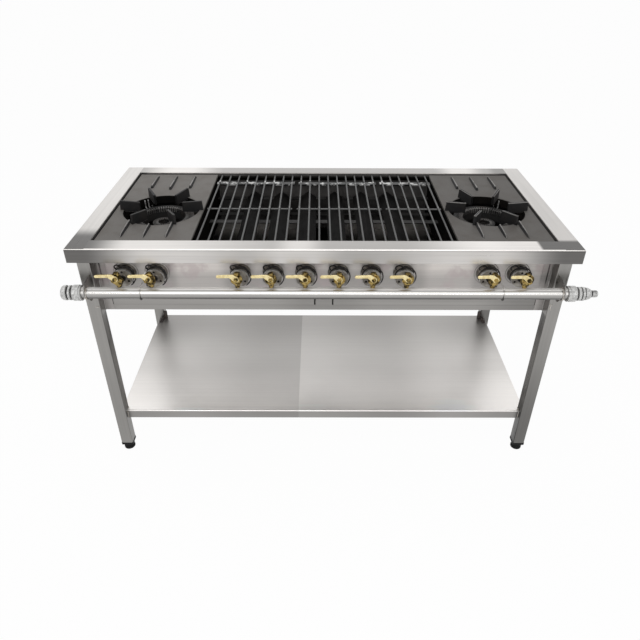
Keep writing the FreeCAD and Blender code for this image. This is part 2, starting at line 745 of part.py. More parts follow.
def ring(body, outside, bore, base, height, count):
    """Burner ring about the body's Z axis, with gas slots through its inner top edge."""
    rim = base + height
    bore_radius = bore / 2
    turned(body, "XZ_Plane", [
        (bore_radius, base), (outside / 2, base), (outside / 2, rim), (bore_radius, rim),
    ], axis="V_Axis")
    half = size.port_width / 2
    slot = polygon(body, "XY_Plane", [
        (bore_radius - half, -half), (bore_radius + size.port_reach, -half),
        (bore_radius + size.port_reach, half), (bore_radius - half, half),
    ], (0, 0, rim))
    polar(body, pocket(body, slot, 2 * size.port_depth), "Z_Axis", count)


def ring_mixer(body, x):
    """Mixer tube along Y at the body's X, closed behind the burner axis."""
    tube = size.mixer_tube_dia / 2
    wall = size.mixer_wall
    outer, inner = mixer_outline(size.burner_y)
    profile = outer + [(tube, tube), (tube, 0), (tube - wall, 0), (tube - wall, tube - wall)] + inner
    turned(body, "YZ_Plane", profile, (0, 0, x))
    mixer_nose(body, x, size.burner_y)


def ring_neck(body, x):
    """Upright neck from the mixer tube into the outer ring."""
    start = size.mixer_tube_dia / 4
    neck = circles(body, "XY_Plane", [(x, -size.ring_neck_ahead, size.ring_neck_dia)], (0, 0, start))
    pad(body, neck, size.outer_ring_base + size.mixer_wall - start)


def ring_burners():
    for name, sign in SIDES:
        place_at = (sign * burner_x, size.burner_y, mixer_z)
        outer = new_body(f"{name}_outer_ring", *place_at)
        ring(outer, size.outer_ring_dia, size.outer_ring_bore, size.outer_ring_base,
             size.outer_ring_height, size.port_count)
        outer_x = sign * size.outer_mixer_offset - size.valve_shift
        ring_neck(outer, outer_x)
        ring_mixer(outer, outer_x)
        inner = new_body(f"{name}_inner_ring", *place_at)
        ring(inner, size.inner_ring_dia, size.inner_ring_bore, size.inner_ring_base,
             size.inner_ring_height, size.inner_port_count)
        ring_mixer(inner, -sign * size.inner_mixer_offset - size.valve_shift)
        group(f"{name}_ring_burner", [outer, inner])


# Burner plates and grates

def burner_plates():
    for name, sign in SIDES:
        plate = node(new_body(f"{name}_burner_plate", sign * burner_x, size.burner_y, 0))
        near = sign * (divider_outer + size.plate_inner_gap - burner_x)
        far = sign * (wall_x - size.plate_outer_gap - burner_x)
        front = -(wall_y - size.plate_end_gap) - size.burner_y
        back = wall_y - size.plate_end_gap - size.burner_y
        slab(plate, (near, far), (front, back), (plate_seat_z, plate_top))
        for step in (-1, 0, 1):
            middle = step * size.rib_pitch + sign * size.burner_inset
            x = (middle - size.rib_width / 2, middle + size.rib_width / 2)
            ribs = (plate_top, plate_top + size.rib_rise)
            slab(plate, x, (front + size.rib_margin, front + size.rib_margin + size.rib_length), ribs)
            slab(plate, x, (back - size.rib_margin - size.rib_length, back - size.rib_margin), ribs)
        hole = circles(plate, "XY_Plane", [(0, 0, size.plate_hole_dia)], (0, 0, plate_seat_z))
        pocket(plate, hole, 2 * (size.plate_thick + size.rib_rise))
        fin_top = plate_top + size.fin_rise
        tip_top = fin_top - size.fin_slope
        outline = polygon(plate, "XZ_Plane", [
            (size.fin_outer_radius + size.fin_foot, plate_seat_z + size.plate_thick / 2),
            (size.fin_outer_radius, fin_top),
            (size.fin_inner_radius, tip_top),
            (size.fin_inner_radius, tip_top - size.fin_tip),
            (size.plate_hole_dia / 2, plate_seat_z),
            (size.fin_outer_radius, plate_seat_z),
        ])
        polar(plate, pad(plate, outline, size.fin_width, True), "Z_Axis", size.fin_count)


def grates():
    sections = (
        ("left_grate", size.left_bar_count),
        ("middle_grate", size.middle_bar_count),
        ("right_grate", size.right_bar_count),
    )
    bar_total = sum((count for _, count in sections), Size.of(0))
    first = size.grate_margin - divider_x
    pitch = -2 * first / (bar_total - 1)
    rear_flat_y = wall_y - size.rear_flat_gap
    bar_z = grate_seat_z + size.grate_rest_gap + size.grate_bar_dia / 2
    rod_z = size.cross_rod_lap - size.grate_bar_dia
    bar_length = 2 * (wall_y - size.grate_bar_gap)
    for name, count in sections:
        span = (count - 1) * pitch
        grate = node(new_body(name, first, 0, bar_z))
        ends = (-size.cross_overhang, span + size.cross_overhang)
        rod = circles(grate, "YZ_Plane", [(size.cross_rod_y, rod_z, size.grate_bar_dia)],
                      (0, 0, span / 2))
        pad(grate, rod, ends[1] - ends[0], True)
        flat_top = size.cross_rod_lap - size.grate_bar_dia / 2
        half = size.rear_flat_width / 2
        bar = circles(grate, "XZ_Plane", [(0, 0, size.grate_bar_dia)])
        linear(grate, pad(grate, bar, bar_length, True), "X_Axis", span, count)
        slab(grate, ends, (rear_flat_y - half, rear_flat_y + half),
             (flat_top - size.rear_flat_thick, flat_top))
        first = first + span + pitch


# Gas manifold

def manifold_pipe():
    pipe = node(new_body("manifold_pipe", 0, pipe_y, pipe_z))
    pad(pipe, circles(pipe, "YZ_Plane", [(0, 0, size.pipe_dia)]), 2 * pipe_half, True)
    bore = circles(pipe, "YZ_Plane", [(0, 0, size.pipe_dia - 2 * size.pipe_wall)])
    pocket(pipe, bore, 2 * (pipe_half + size.pipe_wall))
    tapping = size.valve_nipple_dia + 2 * size.slip_gap
    taps = circles(pipe, "XY_Plane", [(x, 0, tapping) for x in mixer_positions])
    pocket(pipe, taps, pipe_radius + size.pipe_wall, False, True)


def pipe_supports():
    supports = []
    back = -leg_y_outer
    nose = pipe_y - pipe_radius - size.bracket_nose
    half = size.bracket_height / 2
    cut = size.bracket_cut
    for name, sign in SIDES:
        bracket = new_body(f"{name}_bracket")
        x = sign * (leg_x_mid - size.bracket_shift)
        outline = polygon(bracket, "YZ_Plane", [
            (back, pipe_z - half), (nose + cut, pipe_z - half), (nose, pipe_z - half + cut),
            (nose, pipe_z + half - cut), (nose + cut, pipe_z + half), (back, pipe_z + half),
        ], (0, 0, x))
        pad(bracket, outline, size.bracket_thick, True)
        hole = circles(bracket, "YZ_Plane", [(pipe_y, pipe_z, size.pipe_dia + 2 * size.slip_gap)], (0, 0, x))
        pocket(bracket, hole, 4 * size.bracket_thick)
        supports.append(bracket)
    rod_offset = pipe_radius + size.slip_gap + size.clamp_rod_dia / 2
    reach = -leg_y_inner - pipe_y
    clamp_x = (outer_valve_x + inner_valve_x) / 2 - size.clamp_shift
    for name, sign in SIDES:
        clamp = new_body(f"{name}_clamp", sign * clamp_x - size.valve_shift, pipe_y, pipe_z)
        bend = clamp.newObject("PartDesign::Revolution", f"{name}_clamp_bend")
        bend.Profile = circles(clamp, "XZ_Plane", [(0, rod_offset, size.clamp_rod_dia)])
        bend.ReferenceAxis = (bend.Profile[0], ["H_Axis"])
        bend.Angle = 180
        ends = [(0, rod_offset, size.clamp_rod_dia), (0, -rod_offset, size.clamp_rod_dia)]
        pad(clamp, circles(clamp, "XZ_Plane", ends), reach, False, True)
        nuts = [(0, rod_offset, size.clamp_nut_dia), (0, -rod_offset, size.clamp_nut_dia)]
        pad(clamp, circles(clamp, "XZ_Plane", nuts, (0, 0, -(reach - size.clamp_nut_length))),
            size.clamp_nut_length, False, True)
        supports.append(clamp)
    group("pipe_supports", supports)


def pipe_ends():
    couplings = []
    inner = pipe_radius + size.slip_gap
    outer = size.coupling_dia / 2
    start = pipe_half - size.coupling_lap
    stop = start + size.coupling_length
    for name, sign in SIDES:
        coupling = new_body(f"{name}_coupling", 0, pipe_y, pipe_z)
        turned(coupling, "XY_Plane", [
            (sign * start, inner), (sign * start, outer), (sign * stop, outer), (sign * stop, inner),
        ])
        couplings.append(coupling)
    group("pipe_couplings", couplings)

    neck = size.plug_neck_dia / 2
    thread = stop - size.plug_thread
    face = stop + size.plug_neck
    cap = size.end_cap_dia / 2
    cap_end = face + size.end_cap_length
    plug = node(new_body("end_plug", 0, pipe_y, pipe_z))
    turned(plug, "XY_Plane", [
        (-thread, 0), (-thread, neck), (-face, neck), (-face, cap), (-(cap_end - size.end_cap_round), cap),
        (-cap_end, cap - size.end_cap_round), (-cap_end, 0),
    ])

    ring_end = face + size.inlet_ring_length
    second = ring_end + size.inlet_groove
    second_end = second + size.inlet_ring_length
    taper_end = second_end + size.inlet_taper
    nipple = size.inlet_nipple_dia / 2
    bore = size.inlet_bore / 2
    nipple_end = taper_end + size.inlet_nipple_length
    inlet = node(new_body("gas_inlet", 0, pipe_y, pipe_z))
    turned(inlet, "XY_Plane", [
        (thread, bore), (thread, neck), (face, neck), (face, cap), (ring_end, cap), (ring_end, neck),
        (second, neck), (second, cap), (second_end, cap), (taper_end, nipple), (nipple_end, nipple),
        (nipple_end, bore),
    ])


# Valves, levers and air shutters

def valve(index, x):
    body = new_body(f"valve_{index}", x, pipe_y, 0)
    seat = pipe_z + pipe_radius + size.slip_gap
    barrel = size.valve_dia / 2
    nipple = size.valve_nipple_dia / 2
    head = stem_z + size.valve_head
    turned(body, "XZ_Plane", [
        (0, seat - size.valve_nipple_length), (nipple, seat - size.valve_nipple_length), (nipple, seat),
        (barrel, seat), (barrel, head), (size.valve_cap_dia / 2, head + size.valve_cap_rise),
        (0, head + size.valve_cap_rise),
    ], axis="V_Axis")
    boss_front = -size.stem_boss_reach
    nut_back = boss_front - size.lever_thick - 2 * size.lever_gap
    nut_front = nut_back - size.stem_nut_length
    turned(body, "YZ_Plane", [
        (0, 0), (0, size.stem_boss_dia / 2), (boss_front, size.stem_boss_dia / 2),
        (boss_front, size.valve_stem_dia / 2), (nut_back, size.valve_stem_dia / 2),
        (nut_back, size.stem_nut_dia / 2), (nut_front, size.stem_nut_dia / 2), (nut_front, 0),
    ], (0, stem_z, 0))
    nut_start = size.outlet_nut_start
    nut_end = nut_start + size.outlet_nut_length
    outlet = size.outlet_dia / 2
    tip = size.outlet_reach + size.spud_length
    turned(body, "YZ_Plane", [
        (0, 0), (0, outlet), (nut_start, outlet), (nut_start, size.outlet_nut_dia / 2),
        (nut_end, size.outlet_nut_dia / 2), (nut_end, outlet), (size.outlet_reach, outlet),
        (tip, size.spud_tip_dia / 2), (tip, 0),
    ], (0, mixer_z, 0))
    return body


def lever(index, x):
    middle_y = pipe_y - size.stem_boss_reach - size.lever_gap - size.lever_thick / 2
    handle = node(new_body(f"lever_{index}", x, middle_y, stem_z))
    pad(handle, circles(handle, "XZ_Plane", [(0, 0, size.lever_hub_dia)]), size.lever_thick, True)
    half = size.crank_half
    low = size.crank_rise - size.paddle_height / 2
    high = size.crank_rise + size.paddle_height / 2
    outline = polygon(handle, "XZ_Plane", [
        (half, half), (half - size.crank_run, high), (-size.lever_reach, high), (-size.lever_reach, low),
        (-half - size.crank_run, low), (-half, -half),
    ])
    pad(handle, outline, size.lever_thick, True)
    bore = circles(handle, "XZ_Plane", [(0, 0, size.valve_stem_dia + 2 * size.turning_fit)])
    pocket(handle, bore, 2 * size.lever_thick)


def air_shutter(index, x):
    disc = node(new_body(f"air_shutter_{index}", x, shutter_front, mixer_z))
    bore = size.journal_dia / 2 + size.turning_fit
    rim = size.shutter_dia / 2
    lip = rim - size.shutter_lip_wall
    turned(disc, "YZ_Plane", [
        (0, bore), (0, lip), (size.shutter_lip_wall, rim), (size.shutter_lip, rim), (size.shutter_lip, lip),
        (size.shutter_gauge, lip), (size.shutter_gauge, bore),
    ])
    hole = circles(disc, "XZ_Plane", [(size.shutter_hole_radius, 0, size.shutter_hole_dia)])
    polar(disc, pocket(disc, hole, 4 * size.shutter_gauge), "Y_Axis", size.shutter_hole_count)


def controls():
    group("valve_bodies", [valve(index, x) for index, x in enumerate(mixer_positions, start=1)])
    for index, x in enumerate(mixer_positions, start=1):
        lever(index, x)
    for index, x in enumerate(mixer_positions, start=1):
        air_shutter(index, x)


# Check and write

def write_parts():
    doc.recompute()
    for item in doc.Objects:
        if "Invalid" in item.State or "Error" in item.State:
            raise RuntimeError(f"{item.Label} failed: {item.State}")
    os.makedirs("parts", exist_ok=True)
    for item in subparts:
        shape = item.Shape
        if shape.isNull() or not shape.isValid():
            raise RuntimeError(f"{item.Label} has no valid shape")
    for item in subparts:
        item.Shape.exportStep(f"parts/{item.Label}.step")


def build():
    rails()
    legs()
    lower_shelf()
    side_panels()
    end_panels()
    tray_rail()
    tray_runners()
    drip_trays()
    divider_panels()
    support_ledges()
    cross_bars()
    heat_deflectors()
    grill_burners()
    ring_burners()
    burner_plates()
    grates()
    manifold_pipe()
    pipe_supports()
    pipe_ends()
    controls()
    write_parts()


build()
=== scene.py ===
import json
import math

import bmesh
import bpy
from mathutils import Matrix, Vector


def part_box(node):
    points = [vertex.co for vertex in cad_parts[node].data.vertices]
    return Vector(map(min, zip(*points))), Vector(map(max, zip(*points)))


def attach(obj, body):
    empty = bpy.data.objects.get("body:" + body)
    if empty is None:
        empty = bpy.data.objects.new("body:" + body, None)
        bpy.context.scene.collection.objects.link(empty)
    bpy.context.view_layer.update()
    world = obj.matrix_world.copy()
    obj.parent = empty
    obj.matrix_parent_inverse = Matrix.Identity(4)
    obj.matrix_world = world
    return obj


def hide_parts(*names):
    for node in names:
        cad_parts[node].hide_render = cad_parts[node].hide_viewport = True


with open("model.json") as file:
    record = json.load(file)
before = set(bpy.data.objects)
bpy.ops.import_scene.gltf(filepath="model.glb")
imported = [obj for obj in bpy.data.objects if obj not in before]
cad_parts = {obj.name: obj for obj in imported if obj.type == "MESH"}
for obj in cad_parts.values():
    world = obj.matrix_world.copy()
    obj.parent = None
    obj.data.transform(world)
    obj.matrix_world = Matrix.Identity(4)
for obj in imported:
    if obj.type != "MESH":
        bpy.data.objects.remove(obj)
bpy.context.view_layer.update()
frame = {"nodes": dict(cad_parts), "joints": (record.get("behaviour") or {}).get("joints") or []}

MM = 0.001
ROOT = "frame"
CORNERS = ("front_left", "front_right", "back_left", "back_right")
SIDES = {"left": -1, "right": 1}
PIVOTS = {joint["child"]: Vector(joint["pos_m"]) / MM for joint in frame["joints"] if "pos_m" in joint}
LEVERS = [PIVOTS[f"lever_{n}_body"] for n in range(1, 11)]
SHUTTERS = [PIVOTS[f"air_shutter_{n}_body"] for n in range(1, 11)]
RING_BURNER_SHUTTERS = (0, 1, 8, 9)
BURNER = Vector((534, -50, 0))
PLATE_HOLE = 124
RIB_MIDDLE = 545
PIPE = Vector((0, -372, 693))
PIPE_BORE = 17
LEG_X, LEG_Y = 692, 290


def extent(node):
    """Lowest and highest corner of a solid, in millimetres."""
    low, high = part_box(node)
    return low / MM, high / MM


def math_node(operation, swapped=False):
    """An operator of Wire: two terms joined by one Math node."""

    def join(wire, other):
        terms = (other, wire) if swapped else (wire, other)
        return wire.nodes.node("ShaderNodeMath", {"operation": operation}, terms)

    return join


class Wire:
    """A socket of a node tree; sums and products of wires become Math nodes."""

    __add__, __radd__ = math_node("ADD"), math_node("ADD", True)
    __sub__, __rsub__ = math_node("SUBTRACT"), math_node("SUBTRACT", True)
    __mul__, __rmul__ = math_node("MULTIPLY"), math_node("MULTIPLY", True)
    __truediv__, __rtruediv__ = math_node("DIVIDE"), math_node("DIVIDE", True)
    __gt__, __lt__ = math_node("GREATER_THAN"), math_node("LESS_THAN")

    def __init__(self, nodes, socket):
        self.nodes = nodes
        self.socket = socket

    def __neg__(self):
        return self * -1.0

    def __abs__(self):
        return self.nodes.node("ShaderNodeMath", {"operation": "ABSOLUTE"}, [self])

    def rise(self, low, high):
        """0 below low, 1 above high, eased between them."""
        settings = {"interpolation_type": "SMOOTHSTEP"}
        return self.nodes.node("ShaderNodeMapRange", settings, {0: self, 1: low, 2: high})

    def within(self, low, high):
        """1 between low and high, 0 elsewhere."""
        return (self > low) * (self < high)

    def near(self, spot, core, edge):
        """1 up to core away from a spot, eased to 0 at edge."""
        return 1.0 - abs(self - spot).rise(core, edge)


class Nodes:
    """The node tree of a material or of the surround."""

    def __init__(self, owner):
        owner.use_nodes = True
        self.owner = owner
        self.tree = owner.node_tree
        self.tree.nodes.clear()

    def node(self, kind, settings=None, sockets=(), output=0):
        """Adds a node: its settings first, then values or wires on its sockets."""
        made = self.tree.nodes.new(kind)
        for key, value in (settings or {}).items():
            setattr(made, key, value)
        for key, value in sockets.items() if isinstance(sockets, dict) else enumerate(sockets):
            if isinstance(value, Wire):
                self.tree.links.new(value.socket, made.inputs[key])
            else:
                made.inputs[key].default_value = value
        if isinstance(output, tuple):
            return [Wire(self, made.outputs[key]) for key in output]
        return Wire(self, made.outputs[output])

    def seen(self):
        """1 for what is looked at, straight, mirrored or through glass."""
        rays = ("Is Camera Ray", "Is Glossy Ray", "Is Transmission Ray")
        straight, mirrored, through = self.node("ShaderNodeLightPath", output=rays)
        return (straight + mirrored + through) > 0.5


class Finish(Nodes):
    """A surface finish: one material and the nodes that vary it."""

    def __init__(self, name):
        super().__init__(bpy.data.materials.new(name))
        self.place = self.node("ShaderNodeTexCoord", output="Object")
        self.x, self.y, self.z = self.node("ShaderNodeSeparateXYZ", {}, [self.place], output=(0, 1, 2))

    def noise(self, scale, detail=3.0, stretch=(1, 1, 1)):
        """Soft noise of that many patches a metre, drawn out along an axis by stretch."""
        spread = self.node("ShaderNodeVectorMath", {"operation": "MULTIPLY"}, [self.place, stretch])
        sockets = {"Vector": spread, "Scale": scale, "Detail": detail, "Roughness": 0.55}
        return self.node("ShaderNodeTexNoise", {}, sockets)

    def pits(self, scale):
        """Distance from the nearest of scattered points."""
        return self.node("ShaderNodeTexVoronoi", {}, {"Vector": self.place, "Scale": scale})

    def tint(self, colour, shade):
        """A colour made lighter or darker by a shade."""
        return self.blend(colour, shade, 1.0, "MULTIPLY")

    def blend(self, first, second, amount, kind="MIX"):
        """From the first colour to the second by an amount."""
        settings = {"data_type": "RGBA", "blend_type": kind}
        return self.node("ShaderNodeMix", settings, {0: amount, 6: first, 7: second}, output=2)

    def surface(self, colour, roughness, metallic, height, strength, depth, gloss=0.5):
        """Ends the finish in one shader, bumped by height; gloss is the mirror part of what isn't metal."""
        relief = {"Height": height, "Strength": strength, "Distance": depth}
        sockets = {"Base Color": colour, "Roughness": roughness, "Metallic": metallic,
                   "Normal": self.node("ShaderNodeBump", {}, relief), "Specular IOR Level": gloss}
        shader = self.node("ShaderNodeBsdfPrincipled", {}, sockets)
        self.node("ShaderNodeOutputMaterial", {}, [shader], output=())
        return self.owner


def rgb(red, green, blue):
    return (red, green, blue, 1.0)


def either(pick, one, other):
    """One where pick is 1, the other where it is 0."""
    return pick * one + (1.0 - pick) * other


GRAIN = {"X": (0.012, 1, 1), "Y": (1, 0.012, 1), "Z": (1, 1, 0.012)}
# Near black, for soot and painted shade inside the firebox.
SOOT_AND_SHADE = rgb(0.009, 0.008, 0.0075)
HEAT_TINT = rgb(0.50, 0.41, 0.42)


def brushed(name, grain, tone, roughness=0.3, shade=None, soot_and_shade=None, metal=1.0, stain=None, streak=1.0):
    """Brushed stainless: streaks along the grain, smudges, painted light and shade, and soot with painted
    shade.
    """
    finish = Finish(name)
    fine = finish.noise(900, 3, GRAIN[grain])
    wide = finish.noise(130, 3, GRAIN[grain])
    smudge = finish.noise(6, 4)
    light = 0.96 - 0.24 * streak + 0.14 * streak * fine + 0.34 * streak * wide + 0.14 * smudge
    # The shade paints light and shade into the colour.
    if shade:
        light = light * shade(finish)
    colour = finish.tint(tone, light)
    if stain:
        colour = finish.blend(colour, HEAT_TINT, stain(finish))
    rough = roughness - 0.12 + 0.1 * wide + 0.16 * smudge
    # Near-black soot with painted shade, where the mask gives it.
    if soot_and_shade:
        black = soot_and_shade(finish)
        colour = finish.blend(colour, SOOT_AND_SHADE, black)
        rough = rough + 0.4 * black
        metal = metal - 0.8 * metal * black
    return finish.surface(colour, rough, metal, fine + wide, 0.12, 0.0004)


def front_sheen(x):
    """Painted reflection on the front rail's face: lighter towards its ends, and a little left of the
    middle.
    """
    return 0.62 + 0.31 * abs(x + 0.02).rise(0.12, 0.42) + 0.27 * x.near(-0.085, 0.04, 0.16)


def ledge_sheen(x):
    """Painted reflection on the front rail's top: lighter at both ends, with a narrow painted glint left of
    the middle.
    """
    left, right, glint = (-x).rise(0.02, 0.55), x.rise(0.22, 0.52), x.near(-0.075, 0.01, 0.085)
    return 0.55 + 0.42 * left + 0.62 * right + 0.34 * glint


def back_sheen(x):
    """Painted reflection on the back rail: dark, with two lighter stretches near its ends."""
    left, right = x.near(-0.54, 0.03, 0.17), x.near(0.52, 0.02, 0.10)
    return 0.58 + 0.55 * left + 0.42 * right - 0.2 * x.rise(0.62, 0.66)


def rim_front_shade(finish):
    """Front and back rails: painted reflection, a painted highlight along the bend, painted shade at the
    corners and under the bend.
    """
    x, y, z = finish.x, finish.y, finish.z
    flat = z > 0.8222
    # A painted highlight along the bend of the front and back edges.
    bend = (abs(y) > 0.3468) * flat
    corner = 0.83 * x.rise(0.620, 0.632) + 0.77 * (-x).rise(0.57, 0.69)
    top = either(y < 0.0, ledge_sheen(x) * (1.0 - corner), back_sheen(x))
    # Painted shade in a row just under the bend.
    under_bend = z > 0.8178
    face = front_sheen(x) * (1.06 - 0.81 * abs(x).rise(0.50, 0.70)) * (1.0 - 0.16 * under_bend)
    return either(bend, 1.42, either(flat, top, face))


def rim_side_shade(finish):
    """Painted shade on the side rails towards the front corners, starting further back on the left one."""
    ahead = -finish.y
    return 0.9 - 0.7 * either(finish.x < 0.0, ahead.rise(0.20, 0.27), ahead.rise(0.278, 0.298))


def panel_soot_and_shade(finish):
    """Soot and painted shade on the faces turned to the fire."""
    inside = (abs(finish.y) < 0.2893) * (abs(finish.x) < 0.6912)
    return inside * (finish.z > 0.6) * (0.82 + 0.18 * finish.noise(25))


def panel_shade(finish):
    """Painted reflection and shade: lighter between the valve groups, darker by the pipe, darker flanges
    with a painted shadow line at the seam.
    """
    reach = abs(finish.x)
    gap = reach.rise(0.29, 0.33) * (1.0 - reach.rise(0.44, 0.47))
    low = 1.0 - finish.z.rise(0.695, 0.738)
    above_pipe = finish.z.rise(0.66, 0.70)
    flange = reach.rise(0.658, 0.666) * above_pipe
    seam = reach.within(0.6800, 0.6845) * above_pipe
    return (0.78 + 0.24 * gap) * (1.0 - 0.40 * low) * (1.0 - 0.30 * flange) * (1.0 - 0.86 * seam)


def panel_stain(finish):
    """Patches of heat colour round the mixers, on the front only."""
    return 0.45 * finish.noise(16).rise(0.48, 0.66) * (finish.y < -0.28)


def leg_shade(finish):
    """Painted shade: legs darken downwards, the right pair more; painted reflection of the range's dark side
    on the faces under it.
    """
    low = 1.0 - finish.z.rise(0.1, 0.6)
    right = finish.x > 0.0
    by_strip = finish.z.within(0.583, 0.69) * (finish.y < 0.0)
    inner = (abs(finish.x) < 0.6935) * (1.0 - 0.85 * by_strip)
    mirrored = finish.noise(7, 3, (1, 1, 0.5)).rise(0.42, 0.58)
    return (1.0 - (0.12 + 0.38 * right) * low) * (1.0 - inner * (0.25 + 0.45 * mirrored))


def shelf_shade(finish):
    """Painted reflection on the shelf: lighter towards its ends and its front, a step left of the middle;
    painted shade on the lips.
    """
    x, ahead, step_x = finish.x, -finish.y, -0.088
    ends = abs(x).rise(0.42, 0.70)
    level = 0.57 + 0.20 * ahead.rise(-0.26, 0.0) + 0.36 * ahead.rise(-0.1, 0.32)
    level = level + 0.6 * ahead.rise(0.06, 0.30)
    level = level + ends * (0.24 * ahead.rise(-0.2, 0.0) - 0.47 * ahead.rise(0.10, 0.30) - 0.05)
    step = either(x > step_x, 0.27 - 0.17 * x.rise(step_x, 0.25), 0.12 * ahead.rise(0.16, 0.34))
    wave = 0.89 + 0.20 * (-x).rise(0.22, 0.50) + step + 0.22 * x.rise(0.26, 0.46)
    return level * wave * (1.0 - 0.68 * (finish.z < 0.1697))


def tray_shade(finish):
    """Painted shade: the strip under the trays darkens towards the right and a little at its middle."""
    return 1.0 - 0.26 * finish.x.rise(0.46, 0.62) - 0.16 * finish.x.near(0.0, 0.05, 0.17)


# One stainless steel, its tone set per part as painted light and shade: lightest on the panel and rim,
# darkest on the legs and trays.
RIM_TONE = rgb(0.62, 0.60, 0.58)
PANEL_TONE = rgb(0.84, 0.80, 0.77)
rim_front_steel = brushed("rim_front_steel", "X", RIM_TONE, 0.3, rim_front_shade)
rim_side_steel = brushed("rim_side_steel", "Y", RIM_TONE, 0.3, rim_side_shade)
panel_steel = brushed("panel_steel", "X", PANEL_TONE, 0.4, panel_shade, panel_soot_and_shade, 0.55, panel_stain)
leg_steel = brushed("leg_steel", "Z", rgb(0.30, 0.292, 0.28), 0.34, leg_shade)
shelf_steel = brushed("shelf_steel", "X", rgb(0.50, 0.485, 0.47), 0.36, shelf_shade, streak=0.4)
tray_steel = brushed("tray_steel", "X", rgb(0.31, 0.30, 0.288), 0.34, tray_shade)


def drawn_pipe():
    """Polished tube with fine drawing lines, painted highlights along its top and its face, painted shade
    underneath.
    """
    finish = Finish("drawn_pipe")
    lines = finish.noise(700, 3, GRAIN["X"])
    marks = finish.noise(22, 4)
    # Height across the tube as seen from the front, for its painted highlights and shade.
    back, up, radius = 0.513, 0.858, 0.0175
    height = ((finish.y - PIPE.y * MM) * back + (finish.z - PIPE.z * MM) * up) / radius
    painted_top_highlight = height.rise(0.46, 0.58)
    painted_face_highlight = height.rise(-0.36, -0.14) * (1.0 - height.rise(0.14, 0.36))
    light = 0.16 + 0.64 * height.rise(-1.0, -0.5) + 1.05 * painted_top_highlight + 0.75 * painted_face_highlight
    colour = finish.tint(rgb(0.50, 0.49, 0.475), light * (0.84 + 0.12 * lines + 0.12 * marks))
    return finish.surface(colour, 0.17 + 0.12 * marks, 1.0 - 0.6 * painted_top_highlight, lines, 0.06, 0.0003)


def galvanised():
    """Zinc-coated fitting: cloudy patches of grey with lighter blots."""
    finish = Finish("galvanised")
    patches = finish.pits(140)
    cloud = finish.noise(60, 4)
    blots = finish.noise(170, 3).rise(0.42, 0.66)
    colour = finish.tint(rgb(0.60, 0.60, 0.59), 0.42 + 0.5 * cloud + 0.2 * patches + 0.34 * blots)
    return finish.surface(colour, 0.26 + 0.24 * cloud, 0.75, cloud + blots, 0.3, 0.0008)


def brass(name, tone, dull, tarnish):
    """Cast brass: clear on the rubbed faces, brown where it is left alone."""
    finish = Finish(name)
    cloud = finish.noise(95, 4)
    grit = finish.noise(900, 2)
    spots = cloud.rise(0.42, 0.6)
    colour = finish.blend(finish.tint(tone, 0.84 + 0.3 * grit), dull, spots * tarnish)
    return finish.surface(colour, 0.2 + 0.12 * cloud + 0.16 * spots, 1.0, grit + cloud, 0.15, 0.0005)


def shutter_steel():
    """Shutter sheet tinted brown by heat."""
    finish = Finish("shutter_steel")
    cloud = finish.noise(55, 4)
    rings = finish.noise(400, 2)
    colour = finish.blend(rgb(0.40, 0.38, 0.345), rgb(0.20, 0.18, 0.16), cloud.rise(0.35, 0.65))
    colour = finish.tint(colour, 0.82 + 0.36 * rings)
    return finish.surface(colour, 0.34 + 0.2 * cloud, 1.0, rings, 0.12, 0.0004)


def plate_shade(finish):
    """Painted shade: the left plate lighter, most at its back; the right one darker."""
    return either(finish.x < 0.0, 1.0 + 0.14 * finish.y.rise(-0.05, 0.2), 0.8)


def fin_shade(finish):
    """Painted shade: the pot fins are near black on the ends that face the fire."""
    aside = abs(finish.x) - BURNER.x * MM
    behind = finish.y - BURNER.y * MM
    return 0.12 + 0.88 * (aside * aside + behind * behind).rise(0.0698 ** 2, 0.0720 ** 2)


def cast_iron(name, tone, warm, metallic, roughness, grit_depth, gloss=0.5, shade=None):
    """Sand-cast iron: grainy skin, darker and browner patches."""
    finish = Finish(name)
    grit = finish.noise(650, 4)
    patch = finish.noise(18, 4)
    holes = finish.pits(420)
    colour = finish.blend(rgb(*tone), rgb(*warm), patch.rise(0.4, 0.7))
    light = 0.72 + 0.4 * grit + 0.14 * holes
    # A shade, where given, paints light and shade into the colour.
    colour = finish.tint(colour, light * shade(finish) if shade else light)
    rough = roughness - 0.1 + 0.2 * grit
    return finish.surface(colour, rough, metallic, grit + 0.6 * holes, 0.4, grit_depth, gloss)


plate_iron = cast_iron("plate_iron", (0.145, 0.137, 0.128), (0.125, 0.115, 0.105), 0.2, 0.62, 0.0007, 0.3,
                       plate_shade)
fin_iron = cast_iron("fin_iron", (0.012, 0.012, 0.0125), (0.020, 0.018, 0.017), 0.1, 0.55, 0.0007, 0.3,
                     fin_shade)
# Lighter iron for worn edges, and for painted highlights on rib crests, fin tops and the back burner teeth.
worn_iron = cast_iron("worn_iron", (0.26, 0.25, 0.24), (0.10, 0.095, 0.09), 0.6, 0.45, 0.0004)
burner_iron = cast_iron("burner_iron", (0.022, 0.022, 0.022), (0.034, 0.029, 0.026), 0.1, 0.55, 0.0007, 0.3)
mixer_iron = cast_iron("mixer_iron", (0.062, 0.054, 0.052), (0.095, 0.078, 0.070), 0.2, 0.5, 0.0008, 0.3)
# The sheets and deflectors inside the range are near black: soot, darkened further as painted shade.
sooted_sheet = cast_iron("sooted_sheet", (0.004, 0.0038, 0.0036), (0.008, 0.007, 0.006), 0.0, 0.75, 0.0005,
                         0.02)
deflector_steel = cast_iron("deflector_steel", (0.0085, 0.008, 0.0078), (0.0035, 0.0032, 0.003), 0.1, 0.6,
                            0.0005, 0.08)
cross_bar_steel = cast_iron("cross_bar_steel", (0.042, 0.041, 0.040), (0.010, 0.009, 0.009), 0.2, 0.5,
                            0.0005, 0.2)


